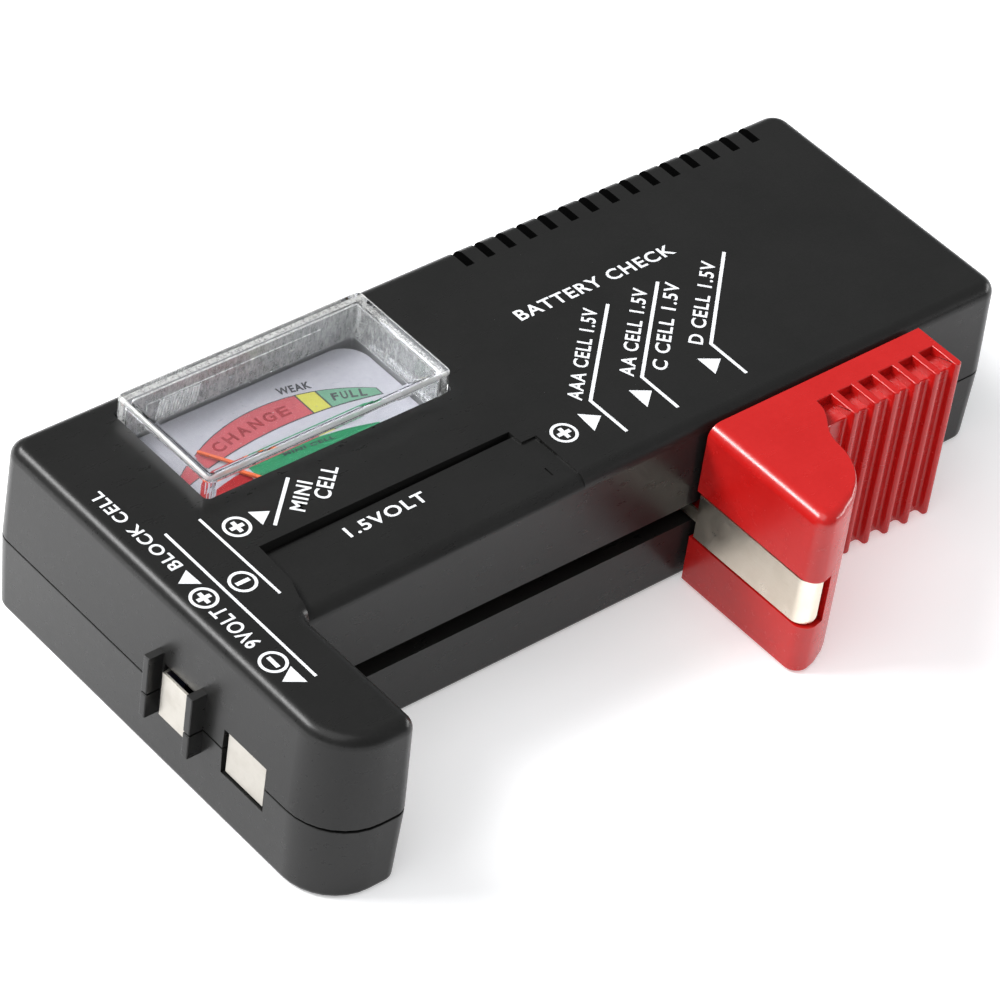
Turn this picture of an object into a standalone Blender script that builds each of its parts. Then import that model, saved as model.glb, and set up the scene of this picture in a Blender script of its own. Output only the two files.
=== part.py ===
"""Analogue battery tester: a two-part housing with an arm, a sliding jaw and a moving-coil meter.

Sizes are in millimetres. Plan positions are measured from the rear left corner of the housing at
the joint line: X runs to the right along the length, Y is negative towards the near side, and Z
is height above the table. in_frame() turns them into metres in the part's own frame, whose origin
is under the middle of the part.
"""

import math

import bmesh
import bpy
from mathutils import Vector

MM = 0.001

# Housing
LENGTH = 110.0              # left end to right end
DEPTH = 38.3                # rear face to the wall that the jaw slides along
ARM_DEPTH = 56.8            # rear face to the tip of the arm
ARM_WIDTH = 10.9            # left end to the arm's inner face
HEIGHT = 22.3               # table to the flat top
SEAM = 10.0                 # height of the joint between the two shells
SEAM_GAP = 0.3
WALL = 2.0
CORNER = 2.6                # upright corners
TIP_LEFT, TIP_RIGHT = 6.8, 2.0
ARM_ROOT = 0.8              # radius in the corner between arm and wall
TOP_FILLET = 1.6
TOP_DRAFT = 0.35
BOTTOM_FILLET = 0.8
BOTTOM_DRAFT = 0.4
LIP_OUTER, LIP_HEIGHT = 1.0, 1.0
CORNER_STEPS = 5

# Polarity ribs on the left end
RIB_REACH = 1.8
RIB_BOTTOM, RIB_TOP = 6.8, 15.0
RIBS = ((-29.2, -28.3), (-36.4, -35.4))
RIB_STEP = 0.05             # each half stops this far short of its shell's rim

# Slot that the jaw's tongue runs in
SLOT = (12.9, 95.5)
SLOT_Z = (8.5, 11.1)

# Vent slots over the rear top edge
VENTS = 15
VENT_FIRST, VENT_PITCH, VENT_WIDTH = 60.6, 3.044, 0.8
VENT_FRONT, VENT_LOW = -3.95, 14.0

# Shallow sloped tray in the top, beside the cell bay
TRAY_LEFT, TRAY_RIGHT, TRAY_REAR = 12.6, 47.9, -28.4
TRAY_DEEP, TRAY_SHALLOW = 1.0, 0.25
TRAY_SLIT_WIDTH, TRAY_SLIT_DEPTH = 0.6, 1.5

# Meter
COVER = (12.6, 45.2, -19.1, -3.1)      # left, right, near, rear
COVER_TOP, COVER_WALL = 24.9, 1.1
COVER_FLANGE = 0.9                     # reach of the flange under the top shell
FLANGE_Z = (19.0, 19.9)
TUB = (12.2, 45.6, -32.9, -2.6)
TUB_Z, TUB_WALL = (4.6, 18.7), 1.0
SCALE_TOP, SCALE_THICK = 18.1, 0.5
PIVOT = (28.8, -26.2)
NEEDLE_REST, NEEDLE_SWING = 32.0, 70.0  # degrees left of straight back, and the swing to the right
NEEDLE_LENGTH, NEEDLE_TAIL = 19.2, 4.6
NEEDLE_Z = (18.45, 18.7)
CORE_R, YOKE_IN, YOKE_OUT = 2.7, 4.4, 5.4
CORE_Z = (10.0, 15.5)
COIL_IN, COIL_OUT, COIL_THICK = 3.0, 4.05, 0.9
COIL_Z = (8.9, 16.6)
COIL_BAND = 0.7
PIVOT_R = 0.4

# Jaw
JAW_FRONT, JAW_BACK = 64.9, 96.0       # front face and right end, as far open as it is drawn
JAW_REAR, JAW_NOSE, JAW_GRIP = -38.7, -57.0, -45.7
JAW_Z = (0.3, 22.3)
GRIP_ROOT, GRIP_PITCH, GRIP_RIB, GRIP_RIBS = -44.6, 3.05, 0.95, 6
POCKET_REAR, POCKET_FLOOR = -41.8, 21.05   # hollow at the head of each groove
TONGUE = (66.6, 85.0)
TONGUE_Z = (8.9, 10.7)
FLANGE = (66.2, 95.0)
FLANGE_Y, FLANGE_HEIGHT = (-36.0, -35.0), (6.0, 13.6)
STRIP_Z = (6.9, 12.9)
STRIP = 0.35                           # thickness of every contact strip
CLEAR = 0.3                            # gap kept between touching pieces

# Screw posts: plan positions
POSTS = ((5.6, -6.0), (104.2, -6.2), (104.2, -30.6), (5.5, -52.0))
BOSS_R, COUNTERBORE_R, COUNTERBORE_TOP = 3.0, 2.25, 5.0
POST_R, PILOT_R = 2.4, 1.15
HEAD_R, HEAD_Z, SHANK_R, SHANK_TOP = 2.0, (3.4, 4.8), 0.85, 16.0

# Circuit board
BOARD = (50.0, 98.0, -29.0, -8.0)
BOARD_Z = (5.0, 6.2)
BOARD_HOLES = ((53.0, -26.0), (95.0, -11.0))
WIRE_R = 0.55

ORIGIN = Vector(((LENGTH - RIB_REACH) / 2, JAW_NOSE / 2, 0.0))

PLASTIC_BLACK = ("black_abs", (0.020, 0.020, 0.020), 0.42, 0.0)
PLASTIC_TUB = ("grey_tub", (0.18, 0.18, 0.19), 0.5, 0.0)
PLASTIC_RED = ("red_abs", (0.62, 0.012, 0.010), 0.28, 0.0)
CLEAR_STYRENE = ("clear_cover", (0.92, 0.93, 0.95), 0.05, 0.0)
SCALE_WHITE = ("printed_scale", (0.80, 0.78, 0.86), 0.5, 0.0)
NICKEL = ("nickel_strip", (0.72, 0.69, 0.62), 0.3, 1.0)
BRASS = ("brass", (0.66, 0.47, 0.18), 0.3, 1.0)
STEEL = ("steel", (0.52, 0.53, 0.55), 0.35, 1.0)
MAGNET = ("magnet", (0.12, 0.12, 0.13), 0.45, 1.0)
COPPER = ("enamelled_copper", (0.58, 0.22, 0.07), 0.35, 1.0)
BRONZE = ("spring_bronze", (0.60, 0.36, 0.14), 0.3, 1.0)
NEEDLE_ORANGE = ("needle_paint", (0.75, 0.14, 0.03), 0.4, 0.0)
LAMINATE = ("board_laminate", (0.42, 0.30, 0.12), 0.5, 0.0)
RESISTOR_TAN = ("resistor_lacquer", (0.60, 0.45, 0.26), 0.4, 0.0)
TRIMMER_BLUE = ("trimmer_blue", (0.05, 0.16, 0.42), 0.4, 0.0)
WIRE_COLOURS = {
    "black": ("black_insulation", (0.02, 0.02, 0.02), 0.45, 0.0),
    "red": ("red_insulation", (0.55, 0.02, 0.02), 0.45, 0.0),
    "blue": ("blue_insulation", (0.03, 0.08, 0.40), 0.45, 0.0),
    "yellow": ("yellow_insulation", (0.70, 0.52, 0.05), 0.45, 0.0),
}

for old in list(bpy.data.objects):
    bpy.data.objects.remove(old, do_unlink=True)
for old in list(bpy.data.collections):
    bpy.data.collections.remove(old)
PARTS = bpy.data.collections.new("battery_tester")
CUTTERS = bpy.data.collections.new("cutters")
bpy.context.scene.collection.children.link(PARTS)
bpy.context.scene.collection.children.link(CUTTERS)


# ---------------------------------------------------------------- helpers

def in_frame(x, y, z):
    """A place in housing millimetres as a point of the part's frame, in metres."""
    return (Vector((x, y, z)) - ORIGIN) * MM


def material(finish):
    """The Principled material of one finish, made once."""
    name, colour, roughness, metallic = finish
    found = bpy.data.materials.get(name)
    if found:
        return found
    made = bpy.data.materials.new(name)
    made.use_nodes = True
    shader = made.node_tree.nodes["Principled BSDF"]
    shader.inputs["Base Color"].default_value = (*colour, 1.0)
    shader.inputs["Roughness"].default_value = roughness
    shader.inputs["Metallic"].default_value = metallic
    made.diffuse_color = (*colour, 1.0)
    return made


def finish_object(name, bm, finish, origin=None, smooth=None):
    """Turn a bmesh in frame coordinates into a named object; a cutter when finish is None."""
    bmesh.ops.recalc_face_normals(bm, faces=bm.faces)
    origin = origin or Vector((0, 0, 0))
    bmesh.ops.translate(bm, vec=-origin, verts=bm.verts)
    mesh = bpy.data.meshes.new(name)
    bm.to_mesh(mesh)
    bm.free()
    made = bpy.data.objects.new(name, mesh)
    made.location = origin
    if finish is None:
        CUTTERS.objects.link(made)
        made.hide_render = True
        made.display_type = "WIRE"
        return made
    PARTS.objects.link(made)
    mesh.materials.append(material(finish))
    if smooth:
        mesh.shade_smooth()
        mesh.set_sharp_from_angle(angle=math.radians(smooth))
    return made


def outline(corners, inset=0.0, steps=CORNER_STEPS):
    """Points round a polygon with rounded corners, moved inwards by inset.

    corners are (x, y, radius), anticlockwise. Every inset gives the same number of points, so
    that outlines of different insets can be lofted.
    """
    points = []
    for index, (x, y, radius) in enumerate(corners):
        before = Vector(corners[index - 1][:2])
        after = Vector(corners[(index + 1) % len(corners)][:2])
        here = Vector((x, y))
        along_in = (here - before).normalized()
        along_out = (after - here).normalized()
        normal_in = Vector((-along_in.y, along_in.x))
        normal_out = Vector((-along_out.y, along_out.x))
        here = here + (normal_in + normal_out) * (inset / (1 + normal_in.dot(normal_out)))
        turn = math.atan2(along_in.x * along_out.y - along_in.y * along_out.x, along_in.dot(along_out))
        bend = max(radius - inset, 0.25) if turn > 0 else radius + inset
        start = here - along_in * (bend * math.tan(abs(turn) / 2))
        side = normal_in if turn > 0 else -normal_in
        centre = start + side * bend
        for step in range(steps + 1):
            angle = turn * step / steps
            arm = start - centre
            spun = Vector((arm.x * math.cos(angle) - arm.y * math.sin(angle),
                           arm.x * math.sin(angle) + arm.y * math.cos(angle)))
            points.append(centre + spun)
    return points


def rectangle(left, right, near, rear, radius=0.3):
    """Corners of an upright rectangle, anticlockwise."""
    return [(left, near, radius), (right, near, radius), (right, rear, radius), (left, rear, radius)]


def loft(name, rings, finish, origin=None, smooth=None):
    """A closed solid through rings of (x, y, z) points, capped at both ends."""
    bm = bmesh.new()
    rows = [[bm.verts.new(in_frame(*point)) for point in ring] for ring in rings]
    count = len(rows[0])
    for lower, upper in zip(rows, rows[1:]):
        for index in range(count):
            following = (index + 1) % count
            bm.faces.new((lower[index], lower[following], upper[following], upper[index]))
    bm.faces.new(rows[0])
    bm.faces.new(rows[-1])
    return finish_object(name, bm, finish, origin, smooth)


def ring(corners, inset, height, steps=CORNER_STEPS):
    """One level ring for loft()."""
    return [(point.x, point.y, height) for point in outline(corners, inset, steps)]


def prism(name, points, bottom, top, finish=None, origin=None, smooth=None):
    """An upright solid over plan points."""
    levels = [[(x, y, z) for x, y in points] for z in (bottom, top)]
    return loft(name, levels, finish, origin, smooth)


def box(name, left, right, near, rear, bottom, top, finish=None):
    """An upright block."""
    bm = bmesh.new()
    bmesh.ops.create_cube(bm, size=1.0)
    size = Vector((right - left, rear - near, top - bottom)) * MM
    centre = in_frame((left + right) / 2, (near + rear) / 2, (bottom + top) / 2)
    bmesh.ops.scale(bm, vec=size, verts=bm.verts)
    bmesh.ops.translate(bm, vec=centre, verts=bm.verts)
    return finish_object(name, bm, finish)


def cylinder(name, x, y, bottom, top, radius, finish=None, sides=24, origin=None):
    """An upright cylinder."""
    bm = bmesh.new()
    height = (top - bottom) * MM
    bmesh.ops.create_cone(bm, cap_ends=True, segments=sides, radius1=radius * MM,
                          radius2=radius * MM, depth=height)
    bmesh.ops.translate(bm, vec=in_frame(x, y, (bottom + top) / 2), verts=bm.verts)
    return finish_object(name, bm, finish, origin, smooth=40)


def combine(target, tool, operation):
    """Add one Boolean modifier to target."""
    change = target.modifiers.new(f"{operation.lower()}_{tool.name}", "BOOLEAN")
    change.operation = operation
    change.solver = "EXACT"
    change.object = tool


def cut(target, *tools):
    """Take each tool away from target."""
    for tool in tools:
        combine(target, tool, "DIFFERENCE")


def join(target, *tools):
    """Fuse each tool to target."""
    for tool in tools:
        combine(target, tool, "UNION")


def strip_path(points, thickness):
    """Plan points of a strip of constant thickness along a centre line."""
    sides = ([], [])
    for index, here in enumerate(points):
        here = Vector(here)
        before = Vector(points[index - 1]) if index else None
        after = Vector(points[index + 1]) if index + 1 < len(points) else None
        ahead = [(here - before).normalized()] if before else []
        ahead += [(after - here).normalized()] if after else []
        normals = [Vector((-way.y, way.x)) for way in ahead]
        normal = sum(normals, Vector((0, 0)))
        scale = 1.0 if len(normals) == 1 else 2 / normal.length_squared
        offset = normal * scale * thickness / 2
        sides[0].append(here + offset)
        sides[1].append(here - offset)
    return [tuple(point) for point in sides[0] + sides[1][::-1]]


def strip(name, points, bottom, top, finish=NICKEL, thickness=STRIP):
    """An upright strip bent along plan points."""
    return prism(name, strip_path(points, thickness), bottom, top, finish)


def turned(name, x, y, profile, finish, sides=24, origin=None):
    """A turned solid about an upright axis; profile is (radius, height), bottom to top."""
    rings = []
    for radius, height in profile:
        steps = [2 * math.pi * index / sides for index in range(sides)]
        rings.append([(x + radius * math.cos(a), y + radius * math.sin(a), height) for a in steps])
    return loft(name, rings, finish, origin, smooth=35)


def smooth_route(points, spacing):
    """Points every spacing or so along a Catmull-Rom curve through points."""
    points = [Vector(point) for point in points]
    ends = [2 * points[0] - points[1]] + points + [2 * points[-1] - points[-2]]
    route = [points[0]]
    for index in range(1, len(ends) - 2):
        p0, p1, p2, p3 = ends[index - 1:index + 3]
        pieces = max(2, round((p2 - p1).length / spacing))
        for step in range(1, pieces + 1):
            t = step / pieces
            route.append(0.5 * ((2 * p1) + (p2 - p0) * t + (2 * p0 - 5 * p1 + 4 * p2 - p3) * t * t
                                + (3 * p1 - 3 * p2 + p3 - p0) * t ** 3))
    return route


def wire(name, points, colour, radius=WIRE_R, spacing=3.0):
    """An insulated wire along a smooth route."""
    curve = bpy.data.curves.new(name, "CURVE")
    curve.dimensions = "3D"
    curve.bevel_depth = radius * MM
    curve.bevel_resolution = 2
    curve.use_fill_caps = True
    spline = curve.splines.new("POLY")
    route = smooth_route(points, spacing)
    spline.points.add(len(route) - 1)
    for handle, place in zip(spline.points, route):
        handle.co = (*in_frame(*place), 1.0)
    made = bpy.data.objects.new(name, curve)
    curve.materials.append(material(WIRE_COLOURS[colour]))
    PARTS.objects.link(made)
    return made


# ---------------------------------------------------------------- housing

HOUSING = [
    (0.0, 0.0, CORNER),
    (0.0, -ARM_DEPTH, TIP_LEFT),
    (ARM_WIDTH, -ARM_DEPTH, TIP_RIGHT),
    (ARM_WIDTH, -DEPTH, ARM_ROOT),
    (LENGTH, -DEPTH, CORNER),
    (LENGTH, 0.0, CORNER),
]


def fillet_rings(edge_inset, edge_height, radius, direction, steps=4):
    """Rings of a quarter-round edge that turns inwards; direction is +1 upwards, -1 downwards."""
    rings = []
    for step in range(steps + 1):
        angle = math.pi / 2 * step / steps
        inset = edge_inset + radius * (1 - math.cos(angle))
        rings.append(ring(HOUSING, inset, edge_height + direction * radius * math.sin(angle)))
    return rings


def seam_cutters():
    """Openings that both shells share: the slot, the 9 V windows and the arm contact's holes."""
    slot = box("cut_slot", *SLOT, -DEPTH - 1, -DEPTH + WALL + 1, *SLOT_Z)
    plus = box("cut_plus_window", -3, 3, -35.1, -29.5, 7.2, 13.7)
    minus = box("cut_minus_window", -3, 3, -46.5, -39.6, 6.7, 12.7)
    tab_holes = [box(f"cut_arm_hole_{side}", 8, 12, near, rear, 6.6, 13.2)
                 for side, (near, rear) in (("rear", (-40.9, -39.5)), ("near", (-54.9, -53.7)))]
    return [slot, plus, minus, *tab_holes]


def top_shell(shared):
    """Upper shell: meter window, vents, tray, screw posts and the upper half of the ribs."""
    rise = SEAM + SEAM_GAP / 2
    rebate = rise + LIP_HEIGHT + CLEAR
    rings = [
        ring(HOUSING, WALL, HEIGHT - WALL),
        ring(HOUSING, WALL, rebate),
        ring(HOUSING, LIP_OUTER - CLEAR, rebate),
        ring(HOUSING, LIP_OUTER - CLEAR, rise),
        ring(HOUSING, 0.0, rise),
    ]
    rings += fillet_rings(TOP_DRAFT, HEIGHT - TOP_FILLET, TOP_FILLET, +1)
    shell = loft("top_shell", rings, PLASTIC_BLACK, smooth=35)
    for index, (near, rear) in enumerate(RIBS):
        join(shell, box(f"add_upper_rib_{index}", -RIB_REACH, 0.6, near, rear, rise + RIB_STEP, RIB_TOP))
    for index, (x, y) in enumerate(POSTS):
        join(shell, cylinder(f"add_post_{index}", x, y, 9.6, HEIGHT - 1, POST_R))
        cut(shell, cylinder(f"cut_pilot_{index}", x, y, 9, 17, PILOT_R))
    left, right, near, rear = COVER
    window = outline(rectangle(left - CLEAR, right + CLEAR, near - CLEAR, rear + CLEAR, 0.6), steps=3)
    cut(shell, prism("cut_meter_window", window, HEIGHT - WALL - 1, HEIGHT + 1))
    cut(shell, tray_cutter(), tray_slit_cutter(), vent_cutter(), *shared)
    return shell


def tray_floor(x):
    """Height of the tray's floor, which rises to the right."""
    share = (x - TRAY_LEFT) / (TRAY_RIGHT - TRAY_LEFT)
    return HEIGHT - TRAY_DEEP + share * (TRAY_DEEP - TRAY_SHALLOW)


def tray_cutter():
    """The sloped tray, open at the wall above the cell bay."""
    plan = [(TRAY_LEFT, TRAY_REAR), (12.3, -33.5), (11.4, -36.0), (11.2, -DEPTH - 1),
            (TRAY_RIGHT, -DEPTH - 1), (TRAY_RIGHT, TRAY_REAR)]
    floor = [(x, y, tray_floor(x)) for x, y in plan]
    lid = [(x, y, HEIGHT + 1) for x, y in plan]
    return loft("cut_tray", [floor, lid], None)


def tray_slit_cutter():
    """The narrow slit along the tray's rear edge."""
    near = TRAY_REAR
    return box("cut_tray_slit", TRAY_LEFT, 46.0, near - 0.01, near + TRAY_SLIT_WIDTH,
               HEIGHT - TRAY_SLIT_DEPTH, HEIGHT + 1)


def vent_cutter():
    """All the vent slots as one cutter."""
    bm = bmesh.new()
    for index in range(VENTS):
        x = VENT_FIRST + index * VENT_PITCH
        plan = outline(rectangle(x - VENT_WIDTH / 2, x + VENT_WIDTH / 2, VENT_FRONT, 2.0, 0.35), steps=2)
        rows = [[bm.verts.new(in_frame(p.x, p.y, z)) for p in plan] for z in (VENT_LOW, HEIGHT + 1)]
        for step in range(len(plan)):
            following = (step + 1) % len(plan)
            bm.faces.new((rows[0][step], rows[0][following], rows[1][following], rows[1][step]))
        bm.faces.new(rows[0])
        bm.faces.new(rows[1])
    return finish_object("cut_vents", bm, None)


def bottom_shell(shared):
    """Lower shell: floor, alignment lip, screw bosses, board standoffs and the lower ribs."""
    rim = SEAM - SEAM_GAP / 2
    down = [
        ring(HOUSING, WALL, WALL),
        ring(HOUSING, WALL, rim + LIP_HEIGHT),
        ring(HOUSING, LIP_OUTER, rim + LIP_HEIGHT),
        ring(HOUSING, LIP_OUTER, rim),
        ring(HOUSING, 0.0, rim),
    ]
    down += fillet_rings(BOTTOM_DRAFT, BOTTOM_FILLET, BOTTOM_FILLET, -1, steps=3)
    shell = loft("bottom_shell", down, PLASTIC_BLACK, smooth=35)
    for index, (near, rear) in enumerate(RIBS):
        join(shell, box(f"add_lower_rib_{index}", -RIB_REACH, 0.6, near, rear,
                        RIB_BOTTOM, rim - RIB_STEP))
    for index, (x, y) in enumerate(POSTS):
        join(shell, cylinder(f"add_boss_{index}", x, y, 1, 9.2, BOSS_R))
        cut(shell, cylinder(f"cut_counterbore_{index}", x, y, -1, COUNTERBORE_TOP, COUNTERBORE_R))
        cut(shell, cylinder(f"cut_clearance_{index}", x, y, 4, 10, 1.25))
    for index, (x, y) in enumerate(BOARD_HOLES):
        join(shell, cylinder(f"add_standoff_{index}", x, y, 1, BOARD_Z[0] - CLEAR, 2.2))
        cut(shell, cylinder(f"cut_standoff_{index}", x, y, 2.6, 6, 1.0))
    for name, (left, right) in (("left", (47.2, 49.2)), ("right", (76.5, 78.5))):
        join(shell, box(f"add_rail_post_{name}", left, right, -32.85, -31.0, 1.0, 12.5))
    for name, (left, right, near, rear) in (("near", (20, 38, -30, -29)), ("rear", (20, 38, -7, -6))):
        join(shell, box(f"add_tub_rest_{name}", left, right, near, rear, 1.0, TUB_Z[0] - CLEAR))
    cut(shell, *shared)
    return shell


def housing_screw(index, x, y):
    """One self-tapping screw with a cross recess, from below."""
    low, high = HEAD_Z
    profile = [(HEAD_R - 0.5, low), (HEAD_R, low + 0.6), (HEAD_R, high), (SHANK_R, high),
               (SHANK_R, SHANK_TOP - 1.5), (0.25, SHANK_TOP)]
    screw = turned(f"housing_screw_{index + 1}", x, y, profile, STEEL, sides=20)
    cut_cross(screw, x, y, low, 0.9, 1.1)
    return screw


def cut_cross(screw, x, y, height, depth, reach):
    """A cross recess cut upwards into a screw head whose face is at height."""
    for name, (wide, long) in (("a", (0.22, reach)), ("b", (reach, 0.22))):
        cut(screw, box(f"cut_{screw.name}_{name}", x - wide, x + wide, y - long, y + long,
                       height - 1, height + depth))


# ---------------------------------------------------------------- meter

def meter_cover():
    """Clear cover with a flange that the top shell holds down."""
    left, right, near, rear = COVER
    skirt = rectangle(left, right, near, rear, 0.8)
    flange = rectangle(left - COVER_FLANGE, right + COVER_FLANGE, near - COVER_FLANGE, rear + 0.65, 0.8)
    rings = [
        ring(skirt, COVER_WALL, COVER_TOP - COVER_WALL, 3),
        ring(skirt, COVER_WALL, FLANGE_Z[0], 3),
        ring(flange, 0.0, FLANGE_Z[0], 3),
        ring(flange, 0.0, FLANGE_Z[1], 3),
        ring(skirt, 0.0, FLANGE_Z[1], 3),
        ring(skirt, 0.0, COVER_TOP - 0.4, 3),
        ring(skirt, 0.12, COVER_TOP - 0.12, 3),
        ring(skirt, 0.4, COVER_TOP, 3),
    ]
    return loft("meter_cover", rings, CLEAR_STYRENE, smooth=35)


def meter_tub():
    """Open tub that holds the movement and carries the scale plate on four posts."""
    left, right, near, rear = TUB
    wall = rectangle(left, right, near, rear, 1.2)
    low, high = TUB_Z
    rings = [
        ring(wall, TUB_WALL, low + TUB_WALL, 3),
        ring(wall, TUB_WALL, high, 3),
        ring(wall, 0.0, high, 3),
        ring(wall, 0.0, low + 0.3, 3),
        ring(wall, 0.3, low, 3),
    ]
    tub = loft("meter_tub", rings, PLASTIC_TUB, smooth=35)
    post_top = SCALE_TOP - SCALE_THICK - CLEAR
    for index, (x, y) in enumerate(((15.2, -5.6), (42.6, -5.6), (15.2, -19.4), (42.6, -19.4))):
        join(tub, cylinder(f"add_scale_post_{index}", x, y, low + 0.5, post_top, 1.3, sides=16))
    for name, y in TERMINALS:
        cut(tub, box(f"cut_terminal_{name}", 44, 47, y - 1.5, y + 1.5, 7.3, 8.3))
    return tub


def scale_plate():
    """Thin printed plate under the clear cover."""
    left, right, _, rear = TUB
    plan = outline(rectangle(left + 1.35, right - 1.35, -21.0, rear - 1.35, 0.6), steps=3)
    return prism("scale_plate", plan, SCALE_TOP - SCALE_THICK, SCALE_TOP, SCALE_WHITE)


def around_pivot(distance, degrees):
    """Plan point at a distance from the pivot; degrees are left of straight back."""
    angle = math.radians(degrees)
    return PIVOT[0] - distance * math.sin(angle), PIVOT[1] + distance * math.cos(angle)


PIVOT_ORIGIN = in_frame(*PIVOT, 0.0)


def spun_points(points, degrees=NEEDLE_REST):
    """Local plan points (across, along) turned to point along the needle's direction."""
    angle = math.radians(degrees)
    return [(PIVOT[0] + x * math.cos(angle) - y * math.sin(angle),
             PIVOT[1] + x * math.sin(angle) + y * math.cos(angle)) for x, y in points]


def needle():
    """Tapered pointer with a hub ring and a tail."""
    blade = [(-0.32, 0.9), (-0.32, -NEEDLE_TAIL), (0.32, -NEEDLE_TAIL), (0.32, 0.9),
             (0.16, NEEDLE_LENGTH), (-0.16, NEEDLE_LENGTH)]
    low, high = NEEDLE_Z
    pointer = prism("needle", spun_points(blade), low, high, NEEDLE_ORANGE, PIVOT_ORIGIN)
    join(pointer, cylinder("add_needle_hub", *PIVOT, low - 0.1, high + 0.1, 1.3, sides=16))
    cut(pointer, cylinder("cut_needle_hub", *PIVOT, low - 1, high + 1, PIVOT_R + 0.25, sides=16))
    return pointer


def needle_counterweight():
    """Small solder weight under the tail that balances the pointer."""
    x, y = around_pivot(-NEEDLE_TAIL + 0.9, NEEDLE_REST)
    return cylinder("needle_counterweight", x, y, 17.35, NEEDLE_Z[0] - 0.3, 0.8, BRASS, 12, PIVOT_ORIGIN)


def moving_coil():
    """Rectangular winding that turns round the core; its plane is square to the pole at mid swing."""
    lean = NEEDLE_SWING / 2
    half = COIL_THICK / 2
    low, high = COIL_Z
    outer = spun_points([(-half, -COIL_OUT), (half, -COIL_OUT), (half, COIL_OUT), (-half, COIL_OUT)], lean)
    inner = spun_points([(-2, -COIL_IN), (2, -COIL_IN), (2, COIL_IN), (-2, COIL_IN)], lean)
    coil = prism("moving_coil", outer, low, high, COPPER, PIVOT_ORIGIN)
    cut(coil, prism("cut_coil", inner, low + COIL_BAND, high - COIL_BAND))
    return coil


def pivots():
    """Half spindles on top of and under the coil, each with a pointed end."""
    low, high = COIL_Z
    upper = [(0.9, high + CLEAR), (0.9, high + 0.5), (PIVOT_R, high + 0.5),
             (PIVOT_R, 18.75), (0.1, 19.0)]
    lower = [(0.1, 7.15), (PIVOT_R, 7.45), (PIVOT_R, low - 0.5),
             (0.9, low - 0.5), (0.9, low - CLEAR)]
    turned("upper_pivot", *PIVOT, upper, STEEL, 16, PIVOT_ORIGIN)
    turned("lower_pivot", *PIVOT, lower, STEEL, 16, PIVOT_ORIGIN)


def hairspring(name, height, hand):
    """Flat spiral spring round a pivot."""
    turns, start, end, per_turn = 3.2, 0.85, 2.7, 14
    count = int(turns * per_turn)
    spiral = []
    for step in range(count + 1):
        share = step / count
        angle = hand * turns * 2 * math.pi * share
        radius = start + (end - start) * share
        spiral.append((PIVOT[0] + radius * math.cos(angle), PIVOT[1] + radius * math.sin(angle)))
    plan = strip_path(spiral, 0.12)
    return prism(name, plan, height, height + 0.25, BRONZE, PIVOT_ORIGIN)


def core_and_yoke():
    """Cylindrical magnet, the steel ring round it and the two brass spacers between them."""
    cylinder("core_magnet", *PIVOT, *CORE_Z, CORE_R, MAGNET, 32)
    ring_body = cylinder("return_yoke", *PIVOT, *CORE_Z, YOKE_OUT, STEEL, 36)
    cut(ring_body, cylinder("cut_yoke", *PIVOT, CORE_Z[0] - 1, CORE_Z[1] + 1, YOKE_IN, sides=36))
    x, y = PIVOT
    near_core, near_yoke = CORE_R + 0.25, YOKE_IN - 0.28
    box("left_core_spacer", x - near_yoke, x - near_core, y - 0.7, y + 0.7, 11, 14.5, BRASS)
    box("right_core_spacer", x + near_core, x + near_yoke, y - 0.7, y + 0.7, 11, 14.5, BRASS)


def movement_frame():
    """Base plate with two pillars and two seats for the yoke."""
    x, y = PIVOT
    plan = outline(rectangle(x - 8.3, x + 8.3, y - 2.0, y + 2.0, 1.2), steps=3)
    frame = prism("movement_frame", plan, 5.9, 6.6, STEEL)
    for side, way in (("left", -1), ("right", 1)):
        join(frame, cylinder(f"add_pillar_{side}", x + way * 7.2, y, 6.0, 19.1, 0.9, sides=16))
        seat = x + way * 4.9
        join(frame, box(f"add_seat_{side}", seat - 0.45, seat + 0.45, y - 1, y + 1, 6.0,
                        CORE_Z[0] - CLEAR))
    cut(frame, cylinder("cut_lower_jewel", x, y, 5, 7, 1.2, sides=20))
    return frame


def upper_bridge():
    """Strip across the pillars that carries the upper bearing."""
    x, y = PIVOT
    plan = outline(rectangle(x - 8.3, x + 8.3, y - 1.2, y + 1.2, 0.8), steps=3)
    bridge = prism("upper_bridge", plan, 19.4, 20.0, BRASS)
    cut(bridge, cylinder("cut_upper_jewel", x, y, 19, 21, 1.0, sides=20))
    return bridge


def jewel_screws():
    """Slotted bearing screws above and below the spindle."""
    x, y = PIVOT
    upper = cylinder("upper_jewel_screw", x, y, 19.3, 20.1, 0.7, BRASS, 16)
    cut(upper, box("cut_upper_driver_slot", x - 0.12, x + 0.12, y - 1, y + 1, 19.85, 21))
    cylinder("lower_jewel_screw", x, y, 5.9, 6.85, 0.9, BRASS, 16)


TERMINALS = (("plus", -12.0), ("minus", -17.0))


def meter_terminals():
    """Two solder tags through the tub's right wall."""
    for name, y in TERMINALS:
        box(f"meter_terminal_{name}", 42.9, 48.2, y - 1.1, y + 1.1, 7.6, 8.0, NICKEL)


# ---------------------------------------------------------------- contacts

def nine_volt_contacts():
    """Formed strips behind the left end: one stands proud between the ribs, one lies in a window."""
    inside, proud, sunk = WALL + 0.45, -0.45, 0.55
    strip("nine_volt_plus_contact", [(inside, -28.3), (inside, -29.85), (proud, -30.25), (proud, -34.35),
                                     (inside, -34.75), (inside, -36.2)], 7.5, 13.4)
    strip("nine_volt_minus_contact", [(inside, -38.2), (inside, -39.95), (sunk, -40.15), (sunk, -45.95),
                                      (inside, -46.15), (inside, -47.6)], 7.0, 12.4)


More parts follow.
